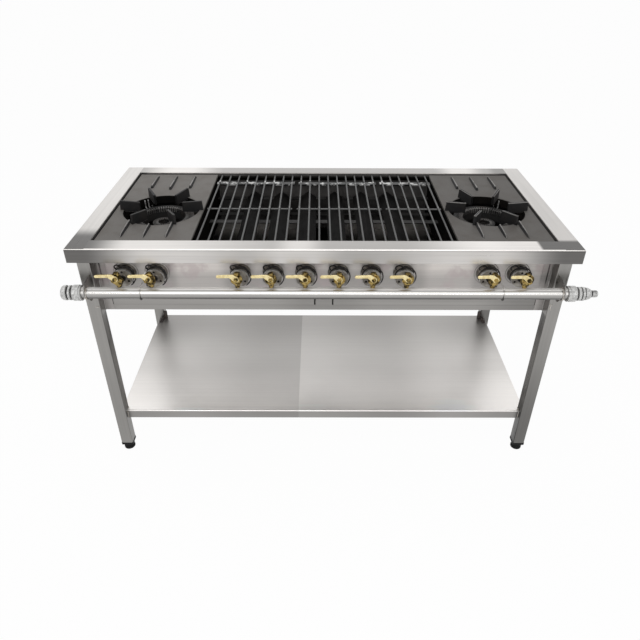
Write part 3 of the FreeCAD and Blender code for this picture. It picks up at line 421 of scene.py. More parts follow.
def grate_iron():
    """Grate bars: a painted highlight along their tops, also rubbed by pots, painted shade below; a lighter
    cross rod; painted glints on the darkened rear flat.
    """
    finish = Finish("grate_iron")
    grit = finish.noise(650, 4)
    patch = finish.noise(30, 4)
    crest = finish.z.rise(0.811, 0.8155)
    rear = finish.y.within(0.198, 0.228)
    rod = finish.y.within(-0.030, -0.016)
    glints = rear * finish.noise(44, 3).rise(0.50, 0.60)
    # Painted highlight on the bar tops and painted glints on the rear flat.
    light = (0.10 + 0.41 * crest + 0.60 * rod) * (0.62 + 0.5 * grit + 0.25 * patch) * (1.0 - 0.75 * rear)
    colour = finish.blend(finish.tint(rgb(0.135, 0.135, 0.134), light), rgb(0.55, 0.55, 0.54), glints)
    return finish.surface(colour, 0.32 + 0.2 * grit, 0.4, grit, 0.35, 0.0003)


def black_rubber():
    """Moulded black plastic with scuffs."""
    finish = Finish("black_rubber")
    scuff = finish.noise(140, 4)
    grain = finish.noise(1500, 2)
    colour = finish.blend(rgb(0.004, 0.004, 0.0045), rgb(0.016, 0.016, 0.016), scuff.rise(0.55, 0.75))
    return finish.surface(colour, 0.42 + 0.2 * scuff, 0.0, grain, 0.15, 0.0003, 0.16)


def weld_metal():
    """Weld beads, bright on the ripples with straw-brown heat stains."""
    finish = Finish("weld_metal")
    stain = finish.noise(260, 3)
    ripple = finish.noise(1200, 2)
    colour = finish.blend(rgb(0.62, 0.60, 0.57), rgb(0.34, 0.27, 0.20), stain.rise(0.42, 0.68))
    return finish.surface(colour, 0.28 + 0.2 * stain, 1.0, ripple, 0.3, 0.0005)


pipe_steel = drawn_pipe()
zinc = galvanised()
lever_brass = brass("lever_brass", rgb(0.84, 0.72, 0.41), rgb(0.52, 0.38, 0.14), 0.4)
valve_brass = brass("valve_brass", rgb(0.36, 0.26, 0.09), rgb(0.03, 0.022, 0.010), 0.97)
shutter_tint = shutter_steel()
grate_bars = grate_iron()
rubber = black_rubber()
weld_steel = weld_metal()


class Form:
    """A piece in the making, in millimetres in the part's frame."""

    def __init__(self):
        self.mesh = bmesh.new()

    def take(self, part, place=None):
        """Adds another mesh, moved by a matrix when one is given."""
        passed = bpy.data.meshes.new("passed")
        bmesh.ops.recalc_face_normals(part, faces=part.faces)
        part.to_mesh(passed)
        part.free()
        if place:
            passed.transform(place)
        self.mesh.from_mesh(passed)
        bpy.data.meshes.remove(passed)

    def loft(self, rings, paint=0, joined=False):
        """Skins rings of equal point counts; joined closes the last ring on the first."""
        part = bmesh.new()
        loops = [[part.verts.new(Vector(point) * MM) for point in ring] for ring in rings]
        for near, far in zip(loops, loops[1:] + loops[:1] if joined else loops[1:]):
            for i, start in enumerate(near):
                j = (i + 1) % len(near)
                part.faces.new((start, near[j], far[j], far[i]))
        if not joined:
            part.faces.new(loops[0])
            part.faces.new(loops[-1])
        for face in part.faces:
            face.material_index = paint
        self.take(part)

    def turned(self, profile, centre, axis, sides=48, paint=0, joined=False, start=0.0):
        """A lathe form from (along, radius) pairs about an axis through centre."""
        middle = Vector(centre)
        self.loft([[middle + across(axis, along, u, v) for u, v in circle(0, 0, radius, sides, start)]
                   for along, radius in profile], paint, joined)

    def hoop(self, centre, axis, along, radius, thick, steps):
        """A round ring about an axis."""
        section = [(v, u) for u, v in circle(radius, along, thick, steps)]
        self.turned(section, centre, axis, joined=True)

    def plank(self, outline, axis, low, high, soften=0.0, paint=0, edge_paint=None, place=None,
              holes=(), steps=2):
        """A flat outline with holes (u, v, radius), given depth along an axis, its edges softened."""
        part = bmesh.new()
        edges = []
        for loop in [outline] + [circle(*hole) for hole in holes]:
            corners = [part.verts.new(across(axis, low, *point) * MM) for point in loop]
            edges += [part.edges.new((corner, corners[i - 1])) for i, corner in enumerate(corners)]
        if holes:
            bmesh.ops.triangle_fill(part, use_beauty=True, edges=edges)
        else:
            bmesh.ops.contextual_create(part, geom=edges)
        made = bmesh.ops.extrude_face_region(part, geom=list(part.faces), use_keep_orig=True)
        moved = [item for item in made["geom"] if isinstance(item, bmesh.types.BMVert)]
        bmesh.ops.translate(part, verts=moved, vec=across(axis, high - low, 0, 0) * MM)
        bmesh.ops.recalc_face_normals(part, faces=part.faces)
        for face in part.faces:
            face.material_index = paint
        if soften:
            sharp = [edge for edge in part.edges if edge.calc_face_angle(0) > 0.5]
            made = bmesh.ops.bevel(part, geom=sharp, offset=soften * MM, segments=steps, profile=0.5,
                                   affect="EDGES")
            for face in made["faces"]:
                face.material_index = paint if edge_paint is None else edge_paint
        self.take(part, place)

    def block(self, low, high, soften):
        """A softened box between two corners."""
        outline = [(low[0], low[1]), (high[0], low[1]), (high[0], high[1]), (low[0], high[1])]
        self.plank(outline, "Z", low[2], high[2], soften)

    def rope(self, path, radius, sides=12, paint=0, joined=False):
        """A round bar along a path; radius is one size or one for each point."""
        points = [Vector(point) for point in path]
        count = len(points)
        normal = None
        rings = []
        for i, point in enumerate(points):
            after = points[(i + 1) % count] if joined else points[min(i + 1, count - 1)]
            before = points[i - 1] if joined else points[max(i - 1, 0)]
            ahead = (after - before).normalized()
            normal = ahead.orthogonal() if normal is None else normal
            normal = (normal - ahead * normal.dot(ahead)).normalized()
            side = ahead.cross(normal)
            reach = radius[i] if isinstance(radius, list) else radius
            rings.append([point + normal * u + side * v for u, v in circle(0, 0, reach, sides)])
        self.loft(rings, paint, joined)

    def bead(self, start, end, radius, paint=0):
        """A weld bead between two points, rippled along its length."""
        start, end = Vector(start), Vector(end)
        ripple_step = 1.1
        count = max(6, int((end - start).length / ripple_step))
        path = [start.lerp(end, i / count) for i in range(count + 1)]
        swell = [radius * (0.78 + 0.22 * math.sin(i * 1.9) + 0.06 * math.sin(i * 0.7))
                 for i in range(count + 1)]
        swell[0] = swell[-1] = radius * 0.3
        self.rope(path, swell, 8, paint)

    def piece(self, name, finishes, stands_for=(), body=ROOT, crease=40):
        """Hands the mesh over as a named piece that moves with a body."""
        mesh = bpy.data.meshes.new(name)
        self.mesh.to_mesh(mesh)
        self.mesh.free()
        for finish in finishes:
            mesh.materials.append(finish)
        mesh.shade_smooth()
        mesh.set_sharp_from_angle(angle=math.radians(crease))
        made = placed(name, mesh)
        made.modifiers.new("even_faces", "WEIGHTED_NORMAL").keep_sharp = True
        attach(made, body)
        if stands_for:
            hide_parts(*stands_for)


def placed(name, data):
    """A new object in the scene."""
    made = bpy.data.objects.new(name, data)
    bpy.context.scene.collection.objects.link(made)
    return made


def across(axis, along, u, v):
    """A point from its distance along an axis and the two others, in X, Y, Z order."""
    return Vector({"X": (along, u, v), "Y": (u, along, v), "Z": (u, v, along)}[axis])


def circle(u, v, radius, sides=24, start=0.0):
    turns = [start + math.tau * i / sides for i in range(sides)]
    return [(u + radius * math.cos(t), v + radius * math.sin(t)) for t in turns]


def spoke(u, v, radius, degrees):
    """The point at a distance and an angle from another."""
    turn = math.radians(degrees)
    return u + radius * math.cos(turn), v + radius * math.sin(turn)


def arc(u, v, radius, first, last, steps):
    """Points on an arc, angles in degrees."""
    return [spoke(u, v, radius, first + (last - first) * i / steps) for i in range(steps + 1)]


def about(x, y, degrees):
    """A turn about an upright axis, its place given in millimetres."""
    shift = Matrix.Translation((x * MM, y * MM, 0))
    return shift @ Matrix.Rotation(math.radians(degrees), 4, "Z") @ shift.inverted()


def rounded_square(low, high, radius, steps=4, inset=0):
    """Outline of a rectangle with round corners, drawn in by an inset."""
    left, right = low[0] + radius, high[0] - radius
    front, back = low[1] + radius, high[1] - radius
    points = []
    for u, v, first in ((right, back, 0), (left, back, 90), (left, front, 180), (right, front, 270)):
        points += arc(u, v, radius - inset, first, first + 90, steps)
    return points


def top_frame():
    """The welded rim: one bent section carried round, the side rails full length."""
    low, high = extent("right_rail")
    x, y, top = high
    bottom, seam = low.z, low.x
    flange = x - seam
    gauge, bend, edge = 1.5, 3.0, 0.3
    section = [(flange, top - gauge), (flange, top - edge), (flange - edge, top)]
    section += arc(bend, top - bend, bend, 90, 180, 5)
    section += [(0, bottom + 0.4), (0.4, bottom), (gauge, bottom), (gauge, top - bend), (bend, top - gauge)]
    rings = []
    for inset, z in section:
        u, v = x - inset, y - inset
        plan = [(-u, -v), (-seam, -v), (seam, -v), (u, -v), (u, v), (seam, v), (-seam, v), (-u, v)]
        rings.append([(a, b, z) for a, b in plan])
    form = Form()
    form.loft(rings, joined=True)
    bmesh.ops.remove_doubles(form.mesh, verts=form.mesh.verts, dist=1e-6)
    for face in form.mesh.faces:
        centre = face.calc_center_median() / MM
        on_top = centre.z > top - 0.5
        beyond = abs(centre.x) > seam
        faces_side = abs(face.normal.x) > abs(face.normal.y)
        face.material_index = int(beyond if on_top else faces_side)
    form.piece("top_frame", [rim_front_steel, rim_side_steel],
               ("front_rail", "back_rail", "left_rail", "right_rail"), crease=50)


def legs():
    """Square tubes with rounded corners."""
    round_off, edge = 4, 1.2
    for corner in CORNERS:
        low, high = extent(f"{corner}_leg")
        form = Form()
        form.loft([[(u, v, z) for u, v in rounded_square(low, high, round_off, inset=inset)]
                   for inset, z in ((edge, low.z), (0, low.z + edge), (0, high.z))])
        form.piece(f"{corner}_leg_tube", [leg_steel], (f"{corner}_leg",))


def shelf():
    """Folded shelf: notched sheet, bent lips with a return fold below."""
    low, high = extent("lower_shelf")
    gauge, bend, fold, clearance = 1.5, 3.5, 12, 0.5
    notch_x = extent("front_right_leg")[0].x - clearance
    notch_y = extent("back_right_leg")[0].y - clearance
    x, y = high.x - bend, high.y - bend
    sheet = [(-notch_x, -y), (notch_x, -y), (notch_x, -notch_y), (x, -notch_y),
             (x, notch_y), (notch_x, notch_y), (notch_x, y), (-notch_x, y),
             (-notch_x, notch_y), (-x, notch_y), (-x, -notch_y), (-notch_x, -notch_y)]
    form = Form()
    form.plank(sheet, "Z", high.z - gauge, high.z)
    drop = high.z - low.z
    lip = [(bend, 0)] + arc(bend, -bend, bend, 90, 180, 5) + arc(bend, bend - drop, bend, 180, 270, 4)
    lip += [(fold, -drop), (fold, gauge - drop), (bend, gauge - drop), (gauge, bend - drop), (gauge, -bend),
            (bend, -gauge)]
    for sign in (-1, 1):
        for axis, edge, half in (("X", high.y, notch_x), ("Y", high.x, notch_y)):
            form.loft([[across(axis, along, sign * (edge - inset), high.z + z) for inset, z in lip]
                       for along in (-half, half)])
    form.piece("folded_shelf", [shelf_steel], ("lower_shelf",))


def hole_rims():
    """Turned edges round the ten panel holes, and a wider one at each ring burner's."""
    form = Form()
    face = extent("tray_rail")[0].y
    hole, wide_ring = 31.6, 37.0
    for n, pivot in enumerate(SHUTTERS):
        for radius in (hole, wide_ring) if n in RING_BURNER_SHUTTERS else (hole,):
            form.hoop((pivot.x, 0, pivot.z), "Y", face + 0.2, radius, 1.1, 8)
    form.piece("panel_hole_rims", [tray_steel])


def pipework():
    """Manifold pipe, its couplings, the blank end and the stepped inlet."""
    low, high = extent("manifold_pipe")
    radius = (high.z - low.z) / 2
    form = Form()
    tube = [(low.x, radius - 2), (low.x + 1, radius), (high.x - 1, radius), (high.x, radius - 2)]
    form.turned(tube, PIPE, "X", 72)
    form.piece("manifold_tube", [pipe_steel], ("manifold_pipe",))

    low, high = extent("pipe_couplings")
    outer = (high.z - low.z) / 2
    length = 28
    inner, end = high.x - length, high.x
    section = [(inner, 17.6), (inner, outer - 3), (inner + 1.5, outer - 0.6), (inner + 4.5, outer - 0.6),
               (inner + 5.5, outer - 1.6), (inner + 6.5, outer - 1.6), (inner + 8, outer), (end - 3, outer),
               (end, outer - 3), (end, PIPE_BORE)]
    form = Form()
    for sign in (-1, 1):
        form.turned([(sign * along, r) for along, r in section], PIPE, "X", 64)
        groove(form, sign * (end + 1.9), 1.6, 18.2)
    form.piece("pipe_end_couplings", [zinc, rubber], ("pipe_couplings",))

    low, high = extent("end_plug")
    outer = (high.z - low.z) / 2
    end = low.x
    # Distance from the plug's end and drop below its widest radius.
    steps = [(0.6, 8), (2.5, 3.4), (6, 0.8), (9, 0), (16, 0), (17.4, 1.5), (18, 4), (22, 4), (22.4, 1.5),
             (23.5, 0.4), (28.5, 0.4), (30, 2.5)]
    section = [(end, 6)] + [(end + along, outer - drop) for along, drop in steps]
    section += [(end + 30.4, PIPE_BORE), (high.x, PIPE_BORE)]
    form = Form()
    form.turned(section, PIPE, "X", 64)
    groove(form, end + 20, 1.9, outer - 3.2)
    form.piece("blank_end", [zinc, rubber], ("end_plug",))

    low, high = extent("gas_inlet")
    end = high.x
    section = [(low.x, PIPE_BORE), (745.6, PIPE_BORE), (746, 19), (747, 20.6), (754.4, 20.6), (755.4, 19.4),
               (755.8, 18), (757.6, 18), (758, 19.4), (759, 20.6), (764.6, 20.6), (765.8, 19), (766.2, 16.6),
               (768, 16.6), (768.4, 18), (770, 19), (776, 18.2), (783, 15.2), (785.4, 13.4), (786, 9.6)]
    threads, pitch, bore, bore_depth = 8, 2.2, 7, 30
    for i in range(threads):
        section += [(787 + pitch * i, 9.2), (788.1 + pitch * i, 10.3)]
    section += [(end - 1.2, 9.4), (end, 8.8), (end, bore), (end - bore_depth, bore), (end - bore_depth, 1)]
    form = Form()
    form.turned(section, PIPE, "X", 64)
    for spot, half, radius in ((756.7, 0.9, 18.6), (767.1, 0.9, 17.2), (787.9, 1.9, 10.6)):
        groove(form, spot, half, radius)
    form.piece("supply_inlet", [zinc, rubber], ("gas_inlet",), crease=28)


def groove(form, x, half, radius):
    """A black band of sealing paste between two fittings."""
    foot, shoulder = radius - 1.5, radius - 0.4
    section = [(x - half, foot), (x - half, shoulder), (x - half * 0.6, radius), (x + half * 0.6, radius),
               (x + half, shoulder), (x + half, foot)]
    form.turned(section, PIPE, "X", 64, 1, joined=True)


def pipe_supports():
    """Bracket plates welded to the front legs, and U-bolts with nuts on the panel."""
    panel_side = extent("pipe_supports")[1].y
    bracket_x, clamp_x, clamp_shift = 702, 534.5, -8
    half_plate, bolt_bend, weld_steps = 1.5, 20.1, 60
    swell = [1.7 + 0.5 * math.sin(i * 1.9) for i in range(weld_steps)]
    nut = [(-296.5, 4.4), (-296, 5.4), (-292.2, 5.4), (-291.6, 4.8)]
    washer = [(-291.6, 7.5), (-291.4, 8), (-290.4, 8), (-290.2, 7.5)]
    nose = arc(PIPE.y, PIPE.z + 8, 24.3, 110, 250, 10)
    bracket = [(-330, 655), (-330, 731), (-345, 731)] + nose + [(-358, 655)]
    form = Form()
    for sign in (-1, 1):
        x = sign * bracket_x
        form.plank(bracket, "X", x - half_plate, x + half_plate, 0.6)
        for face in (-1, 1):
            ring = [(x + face * half_plate, u, v) for u, v in circle(PIPE.y, PIPE.z, 19, weld_steps)]
            form.rope(ring, swell, 8, 1, joined=True)
            form.bead((x + face * 2, -330.5, 657), (x + face * 2, -330.5, 690), 2, 1)
        clamp = sign * clamp_x + clamp_shift
        bend = [(clamp, u, v) for u, v in arc(PIPE.y, PIPE.z, bolt_bend, 90, 270, 24)]
        top, bottom = ((clamp, panel_side, PIPE.z + rise) for rise in (bolt_bend, -bolt_bend))
        form.rope([top] + bend + [bottom], 1.7, 14, 2)
        # The nut under the pipe is in the dark iron as painted shade, the one above in the pipe's steel with
        # its painted highlights.
        for rise, paint in ((bolt_bend, 2), (-bolt_bend, 3)):
            centre = (clamp, 0, PIPE.z + rise)
            form.turned(nut, centre, "Y", 6, paint)
            form.turned(washer, centre, "Y", 32, paint)
    form.piece("pipe_brackets_and_clamps", [leg_steel, weld_steel, pipe_steel, mixer_iron],
               ("pipe_supports",))


def valves():
    """Brass valve bodies: foot, barrel, stem, round lid with screws, outlet with a nut."""
    barrel = [(720.5, 7), (723, 9.2), (726, 10), (735, 10), (737.5, 10.5), (755.5, 10.5), (757.4, 9.6),
              (758, 8), (760.4, 7.8), (761.6, 6.6), (761.9, 3)]
    boss = [(-366, 9), (-378, 9), (-380, 8.2), (-385.2, 8.2), (-386, 7.4), (-386, 3)]
    lid = [(-375, 12), (-376, 16.6), (-377, 17.5), (-381.5, 17.5), (-382.5, 16.6), (-383, 15.6),
           (-382.2, 14), (-382.2, 11)]
    stem_parts = (([(-385, 4), (-392, 4)], 24),
                  ([(-391.8, 6), (-392.2, 6.8), (-394.6, 6.8), (-395.2, 6)], 6),
                  ([(-395, 3.8), (-395.9, 3.4), (-396.3, 2.2), (-396.4, 0.6)], 24))
    outlet_parts = (([(-366, 5.5), (-337.4, 5.5)], 32),
                    ([(-358.4, 7.6), (-357.4, 8.6), (-351, 8.6), (-350, 7.6)], 6),
                    ([(-348, 6.9), (-347.4, 7.4), (-343, 7.4), (-342, 6.4)], 32),
                    ([(-338, 5.2), (-333, 5), (-330, 3.6), (-328.4, 2.4), (-328.2, 1)], 24))
    foot_back, lid_drop, screw_reach = 7, 4, 14
    form = Form()
    for pivot in LEVERS:
        x, lid_z = pivot.x, pivot.z - lid_drop
        foot = (x, PIPE.y + foot_back, 0)
        form.turned([(704, 5), (704, 6.6), (712.5, 6.6), (713, 6)], foot, "Z", 32)
        form.turned([(712.4, 7.6), (713.2, 8.6), (720.5, 8.6), (721.5, 7.6)], foot, "Z", 6, start=0.4)
        form.turned(barrel, (x, PIPE.y, 0), "Z", 40)
        stem, outlet = (x, 0, pivot.z), (x, 0, SHUTTERS[0].z)
        form.turned(boss, stem, "Y", 40)
        form.turned(lid, (x, 0, lid_z), "Y", 48)
        for degrees in (35, 145, 215, 325):
            u, v = spoke(x, lid_z, screw_reach, degrees)
            form.turned([(-381, 3), (-384, 3), (-384.6, 2.3), (-384.6, 0.6)], (u, 0, v), "Y", 6)
        for centre, parts in ((stem, stem_parts), (outlet, outlet_parts)):
            for section, sides in parts:
                form.turned(section, centre, "Y", sides)
    form.piece("gas_valves", [valve_brass], ("valve_bodies",), crease=32)


def levers():
    """Cranked brass handles; the paddle stands a little ahead of the hub."""
    paddle_top, paddle_low, tip_round = 16.4, 7.4, 4.5
    crank, crank_from, crank_over = 4.2, 8, 16
    for n, pivot in enumerate(LEVERS, 1):
        low, high = extent(f"lever_{n}")
        tip = low.x - pivot.x
        outline = [(5.6, -6.4), (6.2, 6), (-8, 15.6), (-12, paddle_top), (tip + 7, paddle_top)]
        outline += arc(tip + tip_round, (paddle_top + paddle_low) / 2, tip_round, 90, 270, 8)
        outline += [(tip + 7, paddle_low), (-19, paddle_low), (-6.6, -5.4)]
        form = Form()
        form.plank([(pivot.x + u, pivot.z + v) for u, v in outline], "Y", low.y, high.y, 1.3, steps=3)
        for vert in form.mesh.verts:
            reach = (pivot.x - crank_from - vert.co.x / MM) / crank_over
            vert.co.y -= crank * MM * max(0.0, min(1.0, reach))
        front, back = low.y - 0.1, high.y - 0.1
        hub = [(front, 4.2), (front, 8.2), (low.y + 0.9, 9), (high.y - 0.9, 9), (back, 8.2), (back, 4.2)]
        form.turned(hub, (pivot.x, 0, pivot.z), "Y", 40, joined=True)
        form.piece(f"lever_{n}_handle", [lever_brass], (f"lever_{n}",), f"lever_{n}_body")


def shutters():
    """Air-shutter discs: pierced sheet, rolled edge, raised collar at the journal."""
    journal, air_hole, air_reach = 9.2, 3.5, 20
    for n, pivot in enumerate(SHUTTERS, 1):
        low, high = extent(f"air_shutter_{n}")
        radius = (high.x - low.x) / 2
        front, centre = low.y, (pivot.x, 0, pivot.z)
        holes = [(pivot.x, pivot.z, journal)]
        holes += [(*spoke(pivot.x, pivot.z, air_reach, degrees), air_hole) for degrees in (90, 210, 330)]
        form = Form()
        form.plank(circle(pivot.x, pivot.z, radius - 1.2, 56), "Y", front + 0.6, front + 2.3, holes=holes)
        edge = [(front + 1.2, radius - 1.6), (front + 0.1, radius - 1.2), (front + 0.1, radius - 0.5),
                (front + 0.8, radius), (high.y, radius), (high.y, radius - 0.8), (front + 2.2, radius - 0.8)]
        form.turned(edge, centre, "Y", 56, 1, joined=True)
        collar = [(front + 0.7, journal), (front, 9.6), (front, 12.4), (front + 0.7, 13.2)]
        form.turned(collar, centre, "Y", 40, joined=True)
        form.piece(f"air_shutter_{n}_disc", [shutter_tint, zinc], (f"air_shutter_{n}",),
                   f"air_shutter_{n}_body")


def mixer_castings():
    """Sleeves, cast rims, loops and guards on the mixer bells, behind the shutters."""
    sleeve = [(-320.5, 25.5), (-304, 29), (-290.8, 30.6), (-290.8, 29.4), (-304, 27.6), (-320.5, 24.3)]
    guard_y, guard_reach = -316, 34.5
    form = Form()
    for pivot in SHUTTERS:
        x, z = pivot.x, pivot.z

        def round_mixer(reach, y, degrees):
            u, v = spoke(x, z, reach, degrees)
            return u, y, v

        form.hoop((x, 0, z), "Y", -309.5, 27.6, 2, 10)
        form.turned(sleeve, (x, 0, z), "Y", 48, 1, joined=True)
        loop = [(x - 17 + 10.5 * u, -304 - 4 * v, z + 24 + 10 * v) for u, v in circle(0, 0, 1, 32)]
        form.rope(loop, 2.2, 10, joined=True)
        ridge = [round_mixer(27, -301, degrees) for degrees in range(95, 14, -5)]
        form.rope(ridge, [3.2 + 0.5 * math.sin(i) for i in range(len(ridge))], 10)
        guard = [round_mixer(guard_reach, guard_y, degrees) for degrees in range(110, -61, -5)]
        form.rope(guard, [1.0] + [1.8] * (len(guard) - 2) + [1.0], 10)
        for degrees in (100, 30, -40):
            form.rope([round_mixer(28, -310, degrees), round_mixer(guard_reach, guard_y, degrees)], 1.6, 8)
    form.piece("mixer_rims", [burner_iron, shutter_tint])


def burner_plates():
    """Cast plates: pierced slab with a skirt in the hole, wedge ribs and six pot fins."""
    fin_rise, plate_depth, fins, half_fin, rib_pitch, rib_margin = 31, 8, 6, 4, 68, 22
    for side, sign in SIDES.items():
        low, high = extent(f"{side}_burner_plate")
        x, y, top = sign * BURNER.x, BURNER.y, high.z
        face = top - fin_rise
        seat = face - plate_depth
        form = Form()
        form.plank(rounded_square(low, high, 3, 3), "Z", seat, face, 0.9, holes=[(x, y, PLATE_HOLE, 72)])
        skirt = [(face - 1.5, 124.4), (face - 1.5, 123), (seat - 14, 115), (seat - 16, 115),
                 (seat - 16, 117.5), (seat, 124.4)]
        form.turned(skirt, (x, y, 0), "Z", 72, 3, joined=True)
        for step in (-1, 0, 1):
            middle = sign * RIB_MIDDLE + step * rib_pitch
            hole_front = y - math.sqrt(PLATE_HOLE ** 2 - (middle - x) ** 2)
            rib(form, middle, low.y + rib_margin, hole_front - 2, face)
            rib(form, middle, high.y - rib_margin, high.y - (144 if step else 156), face)
        profile = [(136.2, face - 2), (133.5, top - 0.4), (129.5, top - 0.1), (70.5, top - 5),
                   (69, top - 6.4), (69, seat + 1.5), (70.5, seat + 0.2), (133.5, seat + 0.2)]
        outline = [(x + reach, z) for reach, z in profile]
        for k in range(fins):
            form.plank(outline, "Y", y - half_fin, y + half_fin, 1.5, 1, 2, about(x, y, 360 / fins * k))
        # Only upward bevels keep the lighter iron, as wear and painted highlight; the rest take the dark
        # iron as painted shade.
        for facet in form.mesh.faces:
            if facet.material_index == 2 and facet.normal.z < 0.3:
                facet.material_index = 1
        form.piece(f"{side}_burner_top", [plate_iron, fin_iron, worn_iron, sooted_sheet],
                   (f"{side}_burner_plate",), f"{side}_burner_plate_body", crease=35)


def rib(form, x, foot, tip, face):
    """A wedge rib, low at its foot and full height towards the fire; painted shade on its sides, a painted
    highlight on its crest.
    """
    ease = 1 if tip > foot else -1
    stations = ((foot, 0.6, 2.4), (foot + ease * 12, 6, 4.4), (foot + ease * 60, 8.4, 5.2),
                (tip - ease * 5, 9.2, 5.6), (tip, 3, 4.4))
    rings = []
    for y, height, half in stations:
        crest = half * 0.38
        section = [(-half, -0.5), (half, -0.5), (crest, height - 0.6), (crest * 0.6, height),
                   (-crest * 0.6, height), (-crest, height - 0.6)]
        rings.append([(x + u, y, face + v) for u, v in section])
    before = len(form.mesh.faces)
    form.loft(rings, 1)
    form.mesh.faces.ensure_lookup_table()
    # The crest takes the lighter iron as a painted highlight.
    for facet in form.mesh.faces[before:]:
        if facet.normal.z > 0.8:
            facet.material_index = 2


def burner_crowns():
    """Teeth round the flame ports of the ring burners, the back ones painted light as a painted highlight,
    and pilot pins.
    """
    pins = {"left": (127, 133), "right": (54,)}
    pin_bends = ((97, 789), (108, 790), (113, 792), (114, 796), (114, 816))
    outer_ring = (73.4, 86, 781, 795.5, 64)
    inner_ring = (19, 28, 774, 779, 24)
    for side, sign in SIDES.items():
        form = Form()
        x, y = sign * BURNER.x, BURNER.y
        for ring in (outer_ring, inner_ring):
            inner, outer, base, top, count = ring
            wide = math.pi * (inner + outer) / count * 0.5
            tooth = [(x + inner, y - wide * 0.42), (x + outer, y - wide / 2), (x + outer, y + wide / 2),
                     (x + inner, y + wide * 0.42)]
            for k in range(count):
                degrees = 360 / count * k
                # Teeth at the back of the outer ring are painted in the lighter iron, as a painted
                # highlight.
                clear = int(ring is outer_ring and 62 < degrees < 118)
                form.plank(tooth, "Z", base, top, 0.7, clear, 1, about(x, y, degrees), steps=1)
            brim = [(top - 4.5, outer + 1), (top - 1.1, outer + 1.8), (top - 0.7, outer + 4),
                    (top - 3, outer + 7.5), (top - 5.5, outer + 7.8)]
            form.turned(brim, (x, y, 0), "Z", 72, joined=True)
        for degrees in pins[side]:
            form.rope([(*spoke(x, y, reach, degrees), z) for reach, z in pin_bends], 2.4, 12, 2)
        form.piece(f"{side}_burner_crowns", [burner_iron, worn_iron, zinc], crease=35)


def feet():
    """Black square plugs in the leg ends and turned levelling feet with grip ribs."""
    form = Form()
    round_off, lap = 3.6, 0.9
    for corner in CORNERS:
        low, high = extent(f"{corner}_leg")
        form.plank(rounded_square(low, high, round_off, inset=-lap), "Z", low.z - 5, low.z + 4, 0.8)
    form.piece("leg_end_plugs", [rubber], ("leg_plugs",))
    for corner in CORNERS:
        low, high = extent(f"{corner}_foot")
        x, y = (low.x + high.x) / 2, (low.y + high.y) / 2
        radius = (high.x - low.x) / 2
        profile = [(0, radius - 2.5), (0.8, radius - 0.8), (2, radius), (7.4, radius), (9, radius - 1),
                   (12, 15.4), (18, 14), (23.6, 13.2), (24.8, 12.4), (24.8, 5), (high.z, 5)]
        form = Form()
        form.turned(profile, (x, y, 0), "Z", 48)
        for degrees in range(0, 360, 30):
            form.rope([(*spoke(x, y, 15.2, degrees), 9.5), (*spoke(x, y, 13.4, degrees), 23)], 1.3, 8)
        form.piece(f"{corner}_levelling_foot", [rubber], (f"{corner}_foot",),
                   f"{corner}_foot_body")


def welds():
    """Beads at the shelf and the rim, closed panel seams, and marks on the front legs."""
    form = Form()
    shelf_low, shelf_high = extent("lower_shelf")
    leg_top = extent("front_left_leg")[1].z
    panel_foot = extent("left_side_panel")[0].z
    on_shelf, under_rim = shelf_high.z + 0.4, leg_top - 0.5
    lip_foot, lip_top = shelf_low.z + 3, shelf_high.z - 4
    # Ends of each bead, outwards from a leg's inner corner, and its radius.
    beads = (((0, 2, on_shelf), (0, 17, on_shelf), 1.8), ((2, 0, on_shelf), (17, 0, on_shelf), 1.8),
             ((0, 19.6, lip_foot), (0, 19.6, lip_top), 1.7), ((19.6, 0, lip_foot), (19.6, 0, lip_top), 1.7),
             ((2, 40.4, under_rim), (38, 40.4, under_rim), 1.8),
             ((40.4, 4, under_rim), (40.4, 38, under_rim), 1.8))
    seam = [(0.6, 0.6, z) for z in (panel_foot + 0.3, 640, 700, 760, leg_top - 1)]
    for sx, sy in ((-1, -1), (-1, 1), (1, -1), (1, 1)):

        def by_leg(u, v, z):
            return sx * (LEG_X + u), sy * (LEG_Y + v), z

        for start, end, radius in beads:
            form.bead(by_leg(*start), by_leg(*end), radius)
        form.rope([by_leg(*point) for point in seam], 2.5, 12, 1)
    leg_face = -330.4
    for x0, z0, x1, z1, radius in ((-706, 617, -694, 617, 1.7), (694, 632, 702, 608, 1.2),
                                   (702, 629, 695, 612, 1.2)):
        form.bead((x0, leg_face, z0), (x1, leg_face, z1), radius)
    form.piece("weld_beads", [weld_steel, leg_steel])


def tray_slots():
    """Dark pull slots in the strip at the inner ends of the trays: dark plates as painted shade in the
    openings.
    """
    face = extent("tray_rail")[0].y
    for side, body, low, high in (("left", "left_drip_tray_body", -32.4, -29), ("right", ROOT, 24.2, 27.8)):
        form = Form()
        form.plank(rounded_square((low, 602), (high, 622), 1.4, 3), "Y", face - 0.7, face + 0.5, 0.25)
        form.piece(f"{side}_pull_slot", [sooted_sheet], body=body)


def tray_end_shade():
    """Folds behind the side flanges, painted near black as shade, closing the view past the trays' ends."""
    form = Form()
    flange_back, depth = -288.6, 2.6
    reach = extent("right_drip_tray")[1].x + 0.8
    wall = extent("right_side_panel")[1].x - 2
    strip_foot = extent("tray_rail")[0].z
    for sign in (-1, 1):
        form.block((sign * reach, flange_back, strip_foot + 17.4),
                   (sign * wall, flange_back + depth, strip_foot + 56), 0.3)
    form.piece("tray_end_shade_folds", [sooted_sheet])


